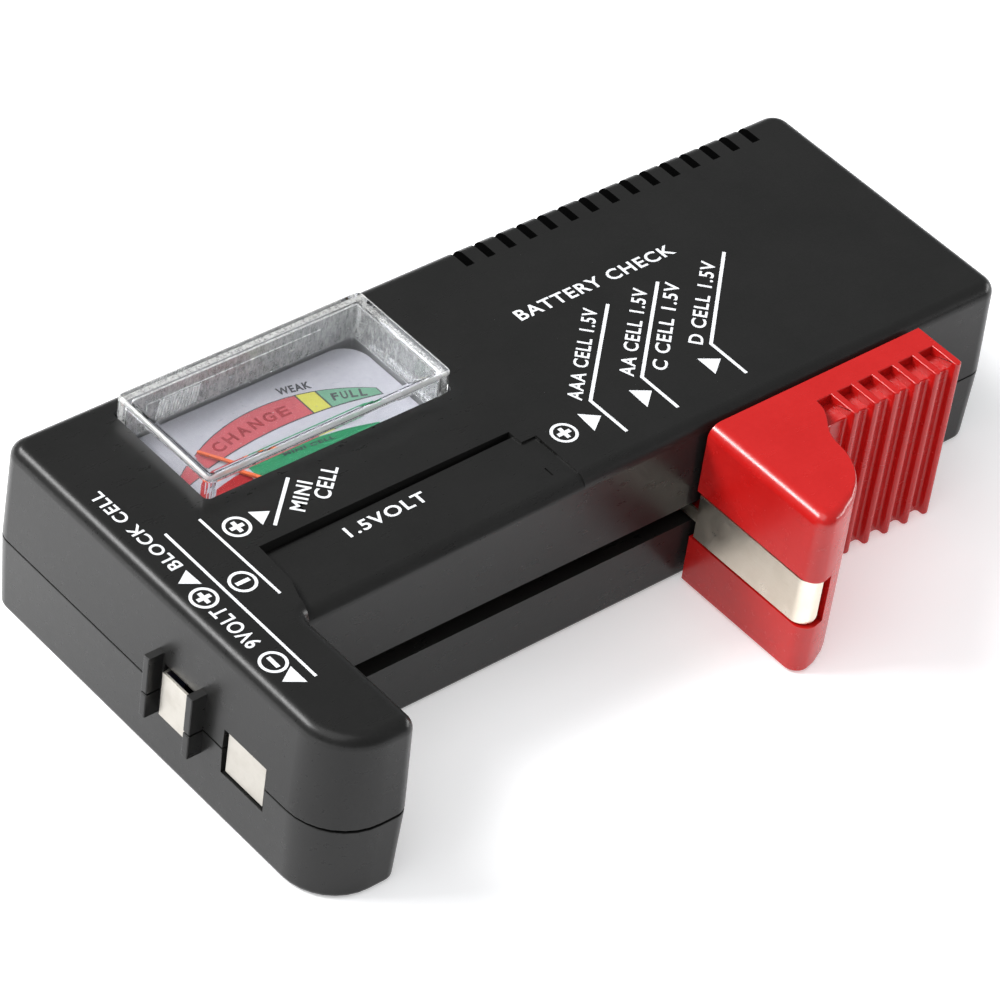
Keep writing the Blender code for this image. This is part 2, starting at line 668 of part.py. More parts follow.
def arm_contact():
    """Strip on the arm's inner face for the negative end of a cell."""
    face, inside = ARM_WIDTH + 0.42, ARM_WIDTH - WALL - 0.45
    return strip("arm_contact", [(inside, -43.6), (inside, -40.5), (face - 0.5, -40.0), (face, -40.35),
                                 (face, -53.95), (face - 0.5, -54.3), (inside + 0.7, -54.1)], *STRIP_Z)


def collector_rail():
    """Fixed strip inside the wall that the jaw's wiper runs along."""
    return strip("collector_rail", [(13.2, -33.38), (79.0, -33.38)], 7.8, 11.8)


# ---------------------------------------------------------------- jaw

def arc(x, y, radius, first, last, steps):
    """Plan points along an arc; angles in degrees."""
    angles = [math.radians(first + (last - first) * step / steps) for step in range(steps + 1)]
    return [(x + radius * math.cos(a), y + radius * math.sin(a)) for a in angles]


def rib_right(index):
    """Right side of one grip rib."""
    return JAW_BACK - GRIP_PITCH * (GRIP_RIBS - 1 - index)


def jaw_plan():
    """Plan of the jaw: front face, rounded nose, concave throat and grip ribs."""
    nose = arc(JAW_FRONT + 1.7, JAW_NOSE + 1.7, 1.7, 180, 275, 5)
    back = [(68.9, -56.3), (71.2, -55.0), (73.1, -53.1), (74.5, -50.6), (74.9, -48.4), (75.2, -47.0)]
    throat = [(75.7, -45.8), (76.4, -45.0)]
    grip = []
    for index in range(GRIP_RIBS):
        right = rib_right(index)
        left = right - GRIP_RIB
        groove = 77.2 if index == 0 else right - GRIP_PITCH
        grip += [(groove, GRIP_ROOT), (left, GRIP_ROOT), (left, JAW_GRIP), (right, JAW_GRIP)]
    return [(JAW_FRONT, JAW_REAR)] + nose + back + throat + grip + [(JAW_BACK, JAW_REAR)]


def slider_jaw():
    """Red jaw with its grip, strip groove, tongue and the flange that keeps it in the slot."""
    jaw = prism("slider_jaw", jaw_plan(), *JAW_Z, PLASTIC_RED, smooth=30)
    edges = jaw.modifiers.new("edges", "BEVEL")
    edges.width = 0.35 * MM
    edges.segments = 2
    edges.limit_method = "ANGLE"
    edges.angle_limit = math.radians(50)
    groove_low, groove_high = STRIP_Z[0] - 0.25, STRIP_Z[1] + 0.25
    face = box("cut_strip_groove", JAW_FRONT - 1, JAW_FRONT + 0.7, JAW_NOSE - 1, JAW_REAR + 1,
               groove_low, groove_high)
    tip = box("cut_nose_groove", JAW_FRONT - 1, 68.0, JAW_NOSE - 1, -55.35, groove_low, groove_high)
    cut(jaw, face, tip)
    first = rib_right(0) - GRIP_RIB
    throat = [(first, POCKET_REAR), (77.7, POCKET_REAR), (77.7, -42.7), (77.1, -43.9), (76.4, -45.0),
              (75.7, -45.8), (75.7, -46.5), (first, -46.5)]
    cut(jaw, prism("cut_pocket_0", throat[::-1], POCKET_FLOOR, JAW_Z[1] + 1))
    for index in range(GRIP_RIBS - 1):
        left = rib_right(index)
        cut(jaw, box(f"cut_pocket_{index + 1}", left, left + GRIP_PITCH - GRIP_RIB, -46.5, POCKET_REAR,
                     POCKET_FLOOR, JAW_Z[1] + 1))
    tongue = box("add_tongue", *TONGUE, JAW_REAR - 1, FLANGE_Y[1] - 0.2, *TONGUE_Z)
    flange = box("add_flange", *FLANGE, *FLANGE_Y, *FLANGE_HEIGHT)
    join(jaw, tongue, flange)
    return jaw


def slider_contact():
    """Strip in the jaw's front face; a narrow tab passes the slot and ends in a wiper."""
    front = JAW_FRONT + 0.22
    nose = arc(front + 1.55, -54.8, 1.55, 180, 262, 4)
    contact = strip("slider_contact", [(front, -39.2)] + nose + [(67.2, -56.4)], *STRIP_Z)
    wiper = [(front, -40.0), (front, -35.3), (65.6, -34.5), (68.6, -33.95), (70.0, -34.4)]
    join(contact, prism("add_wiper", strip_path(wiper, STRIP), TONGUE_Z[0] + 0.1, TONGUE_Z[1] - 0.1))
    return contact


# ---------------------------------------------------------------- circuit

def circuit_board():
    """Single-sided board on two standoffs."""
    plan = outline(rectangle(*BOARD, 1.0), steps=3)
    board = prism("circuit_board", plan, *BOARD_Z, LAMINATE)
    for index, (x, y) in enumerate(BOARD_HOLES):
        cut(board, cylinder(f"cut_board_hole_{index}", x, y, 4, 8, 1.3, sides=20))
    return board


def board_screw(index, x, y):
    """Small pan-head screw into a standoff."""
    base = BOARD_Z[1] + 0.1
    profile = [(0.2, 3.0), (0.75, 3.6), (0.75, base), (1.8, base), (1.8, base + 0.6), (1.2, base + 1.1)]
    screw = turned(f"board_screw_{index + 1}", x, y, profile, STEEL, 16)
    for name, (wide, long) in (("a", (0.2, 0.9)), ("b", (0.9, 0.2))):
        cut(screw, box(f"cut_board_screw_{index}_{name}", x - wide, x + wide, y - long, y + long,
                       base + 0.5, base + 2))
    return screw


def resistor(name, x, y, length, radius):
    """Axial resistor lying along X over the board, with both leads bent down to it."""
    height = BOARD_Z[1] + radius + 0.6
    bm = bmesh.new()
    half = length / 2
    profile = [(0.3, -half), (0.8, 0.05 - half), (1.0, 0.9 - half), (0.86, 1.8 - half),
               (0.86, half - 1.8), (1.0, half - 0.9), (0.8, half - 0.05), (0.3, half)]
    sides = 16
    rows = []
    for share, along in profile:
        steps = [2 * math.pi * step / sides for step in range(sides)]
        rows.append([bm.verts.new(in_frame(x + along, y + share * radius * math.cos(a),
                                           height + share * radius * math.sin(a))) for a in steps])
    for lower, upper in zip(rows, rows[1:]):
        for step in range(sides):
            following = (step + 1) % sides
            bm.faces.new((lower[step], lower[following], upper[following], upper[step]))
    bm.faces.new(rows[0])
    bm.faces.new(rows[-1])
    body = finish_object(name, bm, RESISTOR_TAN, smooth=40)
    for side, way in (("left", -1), ("right", 1)):
        foot = x + way * (half + 1.2)
        inner, outer = sorted((x + way * (half - 0.6), foot + way * 0.25))
        join(body, box(f"add_{name}_lead_{side}", inner, outer, y - 0.25, y + 0.25,
                       height - 0.25, height + 0.25))
        join(body, box(f"add_{name}_leg_{side}", foot - 0.25, foot + 0.25, y - 0.249, y + 0.249,
                       BOARD_Z[1] + CLEAR, height + 0.1))
    return body


def calibration_trimmer():
    """Square trimmer with a screwdriver slot in its rotor."""
    base = BOARD_Z[1] + CLEAR
    trimmer = box("calibration_trimmer", 61.0, 67.0, -25.0, -19.0, base, base + 3.4, TRIMMER_BLUE)
    join(trimmer, cylinder("add_trimmer_rotor", 64.0, -22.0, base + 1, base + 4.2, 2.1, sides=20))
    cut(trimmer, box("cut_trimmer_slot", 62.2, 65.8, -22.3, -21.7, base + 3.5, base + 6))
    return trimmer


def wires():
    """Six insulated wires from the contacts and the meter to the board."""
    under = 3.2
    over = BOARD_Z[1] + WIRE_R + 0.35
    wire("nine_volt_plus_wire", [(3.5, -27.6, 10.0), (5.2, -25.0, 8.0), (8.5, -20.5, 4.2), (14, -18, under),
                                 (30, -18, under), (45, -18.6, under), (48.3, -19.4, 5.2),
                                 (50.5, -20, over + 0.6), (53.5, -20, over)], "red")
    wire("nine_volt_minus_wire", [(3.7, -38.2, 8.8), (5.4, -33.5, 6.5), (8.5, -26.0, 4.0), (14, -22, under),
                                  (30, -21.5, under), (45, -22.4, under), (48.3, -23.2, 5.2),
                                  (50.5, -23.6, over + 0.6), (53.0, -23.4, over)], "blue")
    wire("arm_contact_wire", [(7.7, -42.2, 8.2), (7.4, -38.0, 5.2), (9.4, -30.5, 3.7), (14, -26, under),
                              (30, -25, under), (45, -26.0, under), (47.6, -27.6, 4.4),
                              (49.8, -28.6, 7.6), (55.9, -27.6, over)], "black")
    wire("rail_wire", [(80.0, -33.2, 9.8), (82.2, -32.4, 9.2), (83.0, -30.0, 8.2), (81.0, -27.6, over + 0.3),
                       (77.5, -26.8, over)], "yellow", spacing=2.0)
    for name, y in TERMINALS:
        colour = "red" if name == "plus" else "black"
        wire(f"meter_{name}_wire", [(48.9, y, 7.9), (50.6, y + 0.4, 8.6), (52.6, y + 0.6, 7.8),
                                    (54.4, y + 0.6, over)], colour, spacing=1.5)


# ---------------------------------------------------------------- assembly

SHARED = seam_cutters()
top_shell(SHARED)
bottom_shell(SHARED)
for number, (post_x, post_y) in enumerate(POSTS):
    housing_screw(number, post_x, post_y)
meter_cover()
meter_tub()
scale_plate()
core_and_yoke()
movement_frame()
upper_bridge()
jewel_screws()
moving_coil()
pivots()
hairspring("upper_hairspring", 17.4, 1)
hairspring("lower_hairspring", 7.75, -1)
needle()
needle_counterweight()
meter_terminals()
nine_volt_contacts()
arm_contact()
collector_rail()
slider_jaw()
slider_contact()
circuit_board()
for number, (hole_x, hole_y) in enumerate(BOARD_HOLES):
    board_screw(number, hole_x, hole_y)
resistor("cell_load_resistor", 74.0, -13.0, 11.0, 2.1)
resistor("battery_load_resistor", 74.0, -20.5, 9.0, 1.7)
resistor("meter_series_resistor", 87.5, -18.0, 6.3, 1.15)
calibration_trimmer()
wires()
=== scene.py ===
"""Looks for an analogue battery tester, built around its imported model.

Every piece is modelled at the housing's own drawing: millimetres from the rear left corner of the
housing, X to the right along the length, Y negative towards the cell bay, Z up from the table. A
finished piece is then brought to the frame's metres.
"""

import logging
import math
from collections.abc import Callable, Iterator, Sequence
from contextlib import contextmanager
from dataclasses import dataclass, field
from enum import Enum

import bmesh
import bpy
from mathutils import Matrix, Vector


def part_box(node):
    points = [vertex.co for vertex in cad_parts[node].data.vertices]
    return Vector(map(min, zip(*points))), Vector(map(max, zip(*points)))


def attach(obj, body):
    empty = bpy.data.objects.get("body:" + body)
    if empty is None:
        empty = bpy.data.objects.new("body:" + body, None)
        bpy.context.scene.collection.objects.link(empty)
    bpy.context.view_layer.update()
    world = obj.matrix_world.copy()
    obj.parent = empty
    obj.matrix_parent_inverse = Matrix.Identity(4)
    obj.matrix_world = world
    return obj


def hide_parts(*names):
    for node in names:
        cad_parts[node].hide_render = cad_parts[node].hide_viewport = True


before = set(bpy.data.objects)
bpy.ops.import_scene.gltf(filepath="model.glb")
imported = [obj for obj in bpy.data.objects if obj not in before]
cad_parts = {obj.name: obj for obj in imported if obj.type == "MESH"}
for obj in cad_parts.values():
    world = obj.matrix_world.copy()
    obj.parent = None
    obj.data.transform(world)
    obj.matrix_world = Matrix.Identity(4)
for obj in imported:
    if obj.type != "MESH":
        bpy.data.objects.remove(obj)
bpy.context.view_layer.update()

LOG = logging.getLogger("battery_tester")

MM = 0.001
RIB_REACH = 1.8
HOUSING_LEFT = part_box("top_shell")[0].x + RIB_REACH * MM
HOUSING_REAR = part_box("top_shell")[1].y

Plan = Sequence[tuple[float, float]]
Outline = list[tuple[float, float]]
Place = tuple[float, float, float]
Colour = tuple[float, float, float]

# Two heights closer than this, in millimetres, are the same height.
SAME_LEVEL = 1e-3


class Body(Enum):
    """The bodies that pieces ride on."""

    HOUSING = "housing"
    SLIDER = "slider"
    MOVEMENT = "movement"


class Pick(Enum):
    """What a selection is made of in edit mode."""

    CORNERS = "VERT"
    EDGES = "EDGE"
    FACES = "FACE"


class Across(Enum):
    """The axis that a drawn outline is extruded along."""

    X = 0
    Y = 1
    Z = 2


class Sign(Enum):
    """The signs printed in a ring."""

    PLUS = "plus"
    MINUS_ALONG_X = "minus along X"
    MINUS_ALONG_Y = "minus along Y"


@dataclass(frozen=True)
class VentRow:
    """The row of slots over the housing's rear top edge, in housing millimetres."""

    first: float = 60.6
    pitch: float = 3.044
    count: int = 15
    width: float = 1.1
    front: float = -3.95
    low: float = 14.0
    # Half the width of the painted shade on the slot walls, as a share of the pitch.
    shade_share: float = 0.187


VENTS = VentRow()


# ---------------------------------------------------------------- shader fields

class Signal:
    """One output socket of a shader node, with arithmetic."""

    def __init__(self, sheet: "NodeSheet", socket: bpy.types.NodeSocket) -> None:
        """Wrap a socket.

        Args:
            sheet: The node tree that the socket belongs to.
            socket: The output that carries the value.
        """
        self.sheet = sheet
        self.socket = socket

    def _math(self, operation: str, first: "Signal | float", second: "Signal | float" = 0.0) -> "Signal":
        """One Math node on two values."""
        return self.sheet.node("ShaderNodeMath", {"operation": operation}, {0: first, 1: second})

    def __add__(self, other: "Signal | float") -> "Signal":
        """self + other."""
        return self._math("ADD", self, other)

    def __sub__(self, other: "Signal | float") -> "Signal":
        """self - other."""
        return self._math("SUBTRACT", self, other)

    def __rsub__(self, other: "Signal | float") -> "Signal":
        """other - self."""
        return self._math("SUBTRACT", other, self)

    def __mul__(self, other: "Signal | float") -> "Signal":
        """self times other."""
        return self._math("MULTIPLY", self, other)

    def __truediv__(self, other: "Signal | float") -> "Signal":
        """self over other."""
        return self._math("DIVIDE", self, other)

    def __gt__(self, other: "Signal | float") -> "Signal":
        """1 where self is above other, else 0."""
        return self._math("GREATER_THAN", self, other)

    __radd__ = __add__
    __rmul__ = __mul__

    def sine(self) -> "Signal":
        """Sine of self, in radians."""
        return self._math("SINE", self)

    def size(self) -> "Signal":
        """self without its sign."""
        return self._math("ABSOLUTE", self)

    def spread(self, low: float, high: float, start: float = 0.0, end: float = 1.0) -> "Signal":
        """Map low..high to start..end, held at both ends.

        Args:
            low: Value that becomes start.
            high: Value that becomes end.
            start: First result.
            end: Last result.

        Returns:
            The mapped value.
        """
        return self.sheet.node("ShaderNodeMapRange", {"clamp": True},
                               {"Value": self, "From Min": low, "From Max": high,
                                "To Min": start, "To Max": end})


class NodeSheet:
    """The node tree of one material or world."""

    def __init__(self, owner: bpy.types.Material | bpy.types.World) -> None:
        """Clear the nodes of a material or world.

        Args:
            owner: What the nodes belong to.
        """
        owner.use_nodes = True
        self.owner = owner
        self.tree = owner.node_tree
        self.tree.nodes.clear()

    @classmethod
    def material(cls, name: str) -> "NodeSheet":
        """A sheet for a new material."""
        return cls(bpy.data.materials.new(name))

    def node(self, kind: str, settings: dict | None = None, inputs: dict | None = None,
             output: int | str = 0) -> Signal:
        """Add one node.

        Args:
            kind: Node type.
            settings: Properties, set before the inputs; "stops" fills a colour ramp.
            inputs: Values or signals by socket name or number.
            output: The output that is wanted.

        Returns:
            The wanted output.
        """
        made = self.tree.nodes.new(kind)
        for key, value in (settings or {}).items():
            if key == "stops":
                self._fill_ramp(made.color_ramp, value)
            else:
                setattr(made, key, value)
        for key, value in (inputs or {}).items():
            if isinstance(value, Signal):
                self.tree.links.new(value.socket, made.inputs[key])
            elif isinstance(value, tuple) and len(value) == 3 and made.inputs[key].type == "RGBA":
                made.inputs[key].default_value = (*value, 1.0)
            else:
                made.inputs[key].default_value = value
        return Signal(self, made.outputs[output])

    @staticmethod
    def _fill_ramp(ramp: bpy.types.ColorRamp, stops: Sequence[tuple[float, Colour]]) -> None:
        """Set a ramp's stops, from (position, colour) pairs.

        Args:
            ramp: The ramp.
            stops: (position, colour) pairs.
        """
        while len(ramp.elements) < len(stops):
            ramp.elements.new(1.0)
        for element, (position, colour) in zip(ramp.elements, stops):
            element.position = position
            element.color = (*colour, 1.0)

    def place(self) -> Signal:
        """The point on the piece, in the frame's metres."""
        return self.node("ShaderNodeTexCoord", output="Object")

    def axis(self, across: Across) -> Signal:
        """One coordinate of the point on the piece."""
        return self.node("ShaderNodeSeparateXYZ", inputs={0: self.place()}, output=across.value)

    def stretched(self, scale: Sequence[float]) -> Signal:
        """The point on the piece, scaled by axis so that a pattern runs long one way."""
        return self.node("ShaderNodeMapping", inputs={"Vector": self.place(), "Scale": tuple(scale)})

    def noise(self, grain_mm: float, detail: float = 2.0, rough: float = 0.5,
              stretch: Sequence[float] = (1.0, 1.0, 1.0)) -> Signal:
        """Noise from about 0 to 1.

        Args:
            grain_mm: Size of the blotches in millimetres.
            detail: Octaves.
            rough: Strength of each next octave.
            stretch: Scale of the pattern by axis; below 1 draws it out.

        Returns:
            The noise value.
        """
        return self.node("ShaderNodeTexNoise", inputs={
            "Vector": self.stretched(stretch), "Scale": 1.0 / (grain_mm * MM),
            "Detail": detail, "Roughness": rough})

    def specks(self, grain_mm: float, limit: float) -> Signal:
        """1 inside small random specks, else 0.

        Args:
            grain_mm: Distance between specks in millimetres.
            limit: Size of a speck, as a share of that distance.

        Returns:
            The mask.
        """
        distance = self.node("ShaderNodeTexVoronoi", inputs={
            "Vector": self.place(), "Scale": 1.0 / (grain_mm * MM)})
        return self.node("ShaderNodeMath", {"operation": "LESS_THAN"}, {0: distance, 1: limit})

    def blend(self, share: Signal, first: Signal | Colour, second: Signal | Colour) -> Signal:
        """A colour between first and second."""
        return self.node("ShaderNodeMix", {"data_type": "RGBA"},
                         {0: share, 6: first, 7: second}, output=2)

    def relief(self, height: Signal, depth_mm: float, strength: float = 1.0,
               under: Signal | None = None) -> Signal:
        """A bumped normal.

        Args:
            height: Height from 0 to 1.
            depth_mm: Real height of a step from 0 to 1.
            strength: Share of the bump that shows.
            under: A bump that this one lies on.

        Returns:
            The normal.
        """
        inputs: dict = {"Height": height, "Distance": depth_mm * MM, "Strength": strength}
        if under is not None:
            inputs["Normal"] = under
        return self.node("ShaderNodeBump", inputs=inputs)

    def surface(self, **inputs: Signal | float | Colour) -> Signal:
        """A Principled shader; socket names are written with underscores."""
        return self.node("ShaderNodeBsdfPrincipled",
                         inputs={key.replace("_", " "): value for key, value in inputs.items()})

    def done(self, shader: Signal) -> bpy.types.Material | bpy.types.World:
        """Send the shader to the output and return what the nodes belong to.

        Args:
            shader: The finished shader.

        Returns:
            The material or the world.
        """
        kind = "World" if isinstance(self.owner, bpy.types.World) else "Material"
        made = self.tree.nodes.new(f"ShaderNodeOutput{kind}")
        self.tree.links.new(shader.socket, made.inputs["Surface"])
        return self.owner


# ---------------------------------------------------------------- finishes

class Finish:
    """Something that can be given to a piece as its material."""

    name: str

    def build(self) -> bpy.types.Material:
        """Make the material."""
        raise NotImplementedError

    def material(self) -> bpy.types.Material:
        """The material, made once for each name."""
        found = bpy.data.materials.get(self.name)
        return found or self.build()


@dataclass(frozen=True)
class MouldedPlastic(Finish):
    """Opaque moulded plastic with a spark-eroded grain, faint flow marks and handling marks; with a vent row,
    its slot walls get painted shade.
    """

    name: str
    colour: Colour
    worn: Colour
    roughness: float = 0.42
    rough_spread: float = 0.08
    grain_mm: float = 0.22
    grain_depth: float = 0.012
    wave_mm: float = 9.0
    wave_depth: float = 0.02
    gloss: float = 0.5
    vents: VentRow | None = None
    # Painted shade: the near-black colour put on the slot walls for the shade inside the slots.
    painted_slot_shade: Colour = (0.003, 0.003, 0.003)

    @staticmethod
    def in_slots(sheet: NodeSheet, row: VentRow) -> Signal:
        """1 on the walls of the slots that are cut through the rear edge, where painted shade goes, else 0.

        Args:
            sheet: The node tree it is made in.
            row: The slots.

        Returns:
            The mask.
        """
        first = HOUSING_LEFT + row.first * MM
        middle = first + (row.count - 1) * row.pitch / 2 * MM
        along = sheet.axis(Across.X)
        ridge = ((along - first) * (2 * math.pi / (row.pitch * MM)) + math.pi / 2).sine()
        between = ridge > math.cos(2 * math.pi * row.shade_share)
        rear = sheet.axis(Across.Y) > HOUSING_REAR + (row.front + 0.01) * MM
        above = sheet.axis(Across.Z) > row.low * MM
        beyond = (along - middle).size() > row.count * row.pitch / 2 * MM
        return between * rear * above * (1 - beyond)

    def build(self) -> bpy.types.Material:
        """Make the material.

        Returns:
            The material.
        """
        sheet = NodeSheet.material(self.name)
        flow = sheet.noise(self.wave_mm, 3.0, 0.6)
        grain = sheet.noise(self.grain_mm, 2.0, 0.6)
        rubs = sheet.noise(1.1, 4.0, 0.7, (0.35, 1.0, 1.0))
        tone = flow * 0.6 + grain * 0.4
        colour = sheet.blend(tone.spread(0.35, 0.65), self.colour, self.worn)
        rough = rubs.spread(0.35, 0.7, self.roughness - self.rough_spread,
                            self.roughness + self.rough_spread)
        waves = sheet.relief(flow, self.wave_depth, 0.5)
        normal = sheet.relief(grain, self.grain_depth, 0.8, waves)
        skin = sheet.surface(Base_Color=colour, Roughness=rough, Normal=normal,
                             Specular_IOR_Level=self.gloss)
        # Painted shade: on the slot walls the skin gives way to a near-black diffuse shader, for the shade
        # inside the slots.
        if self.vents:
            dull = sheet.node("ShaderNodeBsdfDiffuse", inputs={"Color": self.painted_slot_shade})
            share = self.in_slots(sheet, self.vents)
            skin = sheet.node("ShaderNodeMixShader", inputs={0: share, 1: skin, 2: dull})
        return sheet.done(skin)


@dataclass(frozen=True)
class ClearPlastic(Finish):
    """Clear polystyrene: it lets the lamps through, a grey film covers its rear and right walls in patches,
    and a painted highlight runs along its top's outer edges.
    """

    name: str
    tint: Colour = (0.97, 0.98, 1.0)
    index: float = 1.55
    roughness: float = 0.02
    haze: Colour = (0.70, 0.70, 0.68)
    haze_share: float = 0.72
    rear_mm: float = -4.2
    right_mm: float = 44.1
    middle_mm: tuple[float, float] = (28.9, -11.1)
    reach_mm: tuple[float, float] = (16.3, 8.0)
    top_mm: float = 24.9
    band_mm: float = 0.35
    highlight_rim_mm: float = 0.4

    def inside_wall(self, sheet: NodeSheet, across: Across, place: float) -> Signal:
        """1 on a wall's inner face, at a place along an axis in metres, else 0."""
        return 1 - ((sheet.axis(across) - place).size() > self.band_mm * MM)

    def rim(self, sheet: NodeSheet) -> Signal:
        """1 along the top's outer edges, where a painted highlight goes, else 0.

        Args:
            sheet: The node tree it is made in.

        Returns:
            The mask.
        """
        origins = (HOUSING_LEFT, HOUSING_REAR)
        beside, before = [
            (sheet.axis(across) - (origin + middle * MM)).size() > (reach - self.band_mm) * MM
            for across, origin, middle, reach in zip(Across, origins, self.middle_mm, self.reach_mm)]
        high = sheet.axis(Across.Z) > (self.top_mm - self.highlight_rim_mm) * MM
        return (beside + before * (1 - beside)) * high

    def build(self) -> bpy.types.Material:
        """Make the material.

        Returns:
            The material.
        """
        sheet = NodeSheet.material(self.name)
        dust = sheet.specks(1.4, 0.05)
        smears = sheet.noise(3.0, 3.0, 0.6, (1.0, 0.5, 1.0)).spread(0.45, 0.75)
        rough = smears * 0.035 + dust * 0.2 + self.roughness
        normal = sheet.relief(sheet.noise(6.0, 1.0), 0.006, 0.5)
        glass = sheet.surface(Base_Color=self.tint, Roughness=rough, Normal=normal, IOR=self.index,
                              Transmission_Weight=1.0)
        rear = self.inside_wall(sheet, Across.Y, HOUSING_REAR + self.rear_mm * MM)
        right = self.inside_wall(sheet, Across.X, HOUSING_LEFT + self.right_mm * MM)
        wall_film_patches = sheet.noise(0.5, 4.0, 0.75, (1.0, 1.0, 0.4)).spread(0.35, 0.75, 0.3, 1.0)
        walls = rear + right * (1 - rear) * 0.7
        scratch = sheet.noise(0.5, 3.0, 0.7, (0.2, 1.0, 1.0)).spread(0.66, 0.72) * 0.3
        # Painted highlight: the rim term lays the pale film along the top's outer edges; the wall term is a
        # grey film on the rear and right walls.
        share = walls * wall_film_patches * self.haze_share + dust * 0.4 + scratch * 0.3 + self.rim(sheet) * 0.4
        film = sheet.surface(Base_Color=self.haze, Roughness=0.6, Normal=normal)
        glass = sheet.node("ShaderNodeMixShader", inputs={0: share, 1: glass, 2: film})
        clear = sheet.node("ShaderNodeBsdfTransparent", inputs={"Color": (0.86, 0.87, 0.88)})
        lamp_rays = sheet.node("ShaderNodeLightPath", output="Is Shadow Ray")
        return sheet.done(sheet.node("ShaderNodeMixShader", inputs={0: lamp_rays, 1: glass, 2: clear}))


@dataclass(frozen=True)
class BrushedMetal(Finish):
    """Rolled or turned metal with fine lines, smudges and small scratches."""

    name: str
    colour: Colour
    dull: Colour
    roughness: float = 0.28
    line_mm: float = 0.09
    stretch: tuple[float, float, float] = (1.0, 0.04, 1.0)
    line_depth: float = 0.003

    def build(self) -> bpy.types.Material:
        """Make the material.

        Returns:
            The material.
        """
        sheet = NodeSheet.material(self.name)
        lines = sheet.noise(self.line_mm, 3.0, 0.6, self.stretch)
        smudge = sheet.noise(2.6, 4.0, 0.65)
        colour = sheet.blend((smudge * 0.7 + lines * 0.3).spread(0.4, 0.7), self.colour, self.dull)
        rough = smudge.spread(0.35, 0.7, self.roughness - 0.06, self.roughness + 0.1) + lines * 0.05
        normal = sheet.relief(lines, self.line_depth, 0.6)
        return sheet.done(sheet.surface(Base_Color=colour, Roughness=rough, Metallic=1.0, Normal=normal))


@dataclass(frozen=True)
class PrintedInk(Finish):
    """Thin pad-printed ink, with slightly uneven cover."""

    name: str
    colour: Colour
    thin: Colour
    roughness: float = 0.5

    def build(self) -> bpy.types.Material:
        """Make the material.

        Returns:
            The material.
        """
        sheet = NodeSheet.material(self.name)
        cover = sheet.noise(0.35, 3.0, 0.6) * 0.6 + sheet.noise(4.0, 2.0) * 0.4
        colour = sheet.blend(cover.spread(0.42, 0.66), self.colour, self.thin)
        rough = cover.spread(0.3, 0.7, self.roughness - 0.08, self.roughness + 0.12)
        normal = sheet.relief(cover, 0.006, 0.6)
        return sheet.done(sheet.surface(Base_Color=colour, Roughness=rough, Normal=normal))


@dataclass(frozen=True)
class Speckled(Finish):
    """Board, card or lacquer: a body colour with fibres or specks in a second one."""

    name: str
    colour: Colour
    speck: Colour
    grain_mm: float = 0.5
    share: float = 0.5
    roughness: float = 0.5
    stretch: tuple[float, float, float] = (1.0, 1.0, 1.0)

    def build(self) -> bpy.types.Material:
        """Make the material.

        Returns:
            The material.
        """
        sheet = NodeSheet.material(self.name)
        fibres = sheet.noise(self.grain_mm, 4.0, 0.7, self.stretch)
        colour = sheet.blend(fibres.spread(0.4, 0.72) * self.share, self.colour, self.speck)
        rough = fibres.spread(0.3, 0.7, self.roughness - 0.07, self.roughness + 0.1)
        normal = sheet.relief(fibres, 0.01, 0.5)
        return sheet.done(sheet.surface(Base_Color=colour, Roughness=rough, Normal=normal))


@dataclass(frozen=True)
class PaleSheet(Finish):
    """White paper for the studio floor that glows, painted light that is stronger towards its rear left."""

    name: str
    colour: Colour = (0.86, 0.86, 0.87)
    glow: float = 0.34
    bright: float = 1.1

    def build(self) -> bpy.types.Material:
        """Make the material.

        Returns:
            The material.
        """
        sheet = NodeSheet.material(self.name)
        tooth = sheet.noise(60.0, 2.0)
        colour = sheet.blend(tooth.spread(0.3, 0.7) * 0.3, self.colour, (0.82, 0.82, 0.83))
        # Painted light: the emission rises from glow near the object to bright at the floor's rear left.
        behind = (sheet.axis(Across.Y) - sheet.axis(Across.X)).spread(0.055, 0.10)
        light = sheet.blend(behind, (self.glow,) * 3, (self.bright,) * 3)
        return sheet.done(sheet.surface(Base_Color=colour, Roughness=tooth.spread(0.3, 0.7, 0.85, 0.95),
                                        Emission_Color=light, Emission_Strength=1.0))


@dataclass(frozen=True)
class ColourBands(Finish):
    """Lacquered resistor body with coloured rings along its length and bare leads."""

    name: str
    middle_mm: float
    length_mm: float
    bands: tuple[Colour, ...]
    body: Colour = (0.55, 0.40, 0.22)
    lead: Colour = (0.62, 0.60, 0.56)
    first_band: float = -0.3
    band_pitch: float = 0.17
    last_gap: float = 0.1
    half_band: float = 0.04

    def build(self) -> bpy.types.Material:
        """Make the material.

        Returns:
            The material.
        """
        sheet = NodeSheet.material(self.name)
        along = (sheet.axis(Across.X) - (HOUSING_LEFT + self.middle_mm * MM)) / (self.length_mm * MM)
        colour: Signal | Colour = self.body
        for index, band in enumerate(self.bands):
            last = self.last_gap if index == len(self.bands) - 1 else 0.0
            ring = (along - (self.first_band + index * self.band_pitch + last)).size() > self.half_band
            colour = sheet.blend(ring, band, colour)
        leads = along.size() > 0.52
        colour = sheet.blend(leads, colour, self.lead)
        mottle = sheet.noise(0.6, 3.0)
        colour = sheet.blend(mottle.spread(0.45, 0.8) * 0.25, colour, (0.2, 0.14, 0.08))
        rough = mottle.spread(0.3, 0.7, 0.28, 0.42)
        normal = sheet.relief(mottle, 0.008, 0.6)
        return sheet.done(sheet.surface(Base_Color=colour, Roughness=rough, Metallic=leads, Normal=normal))


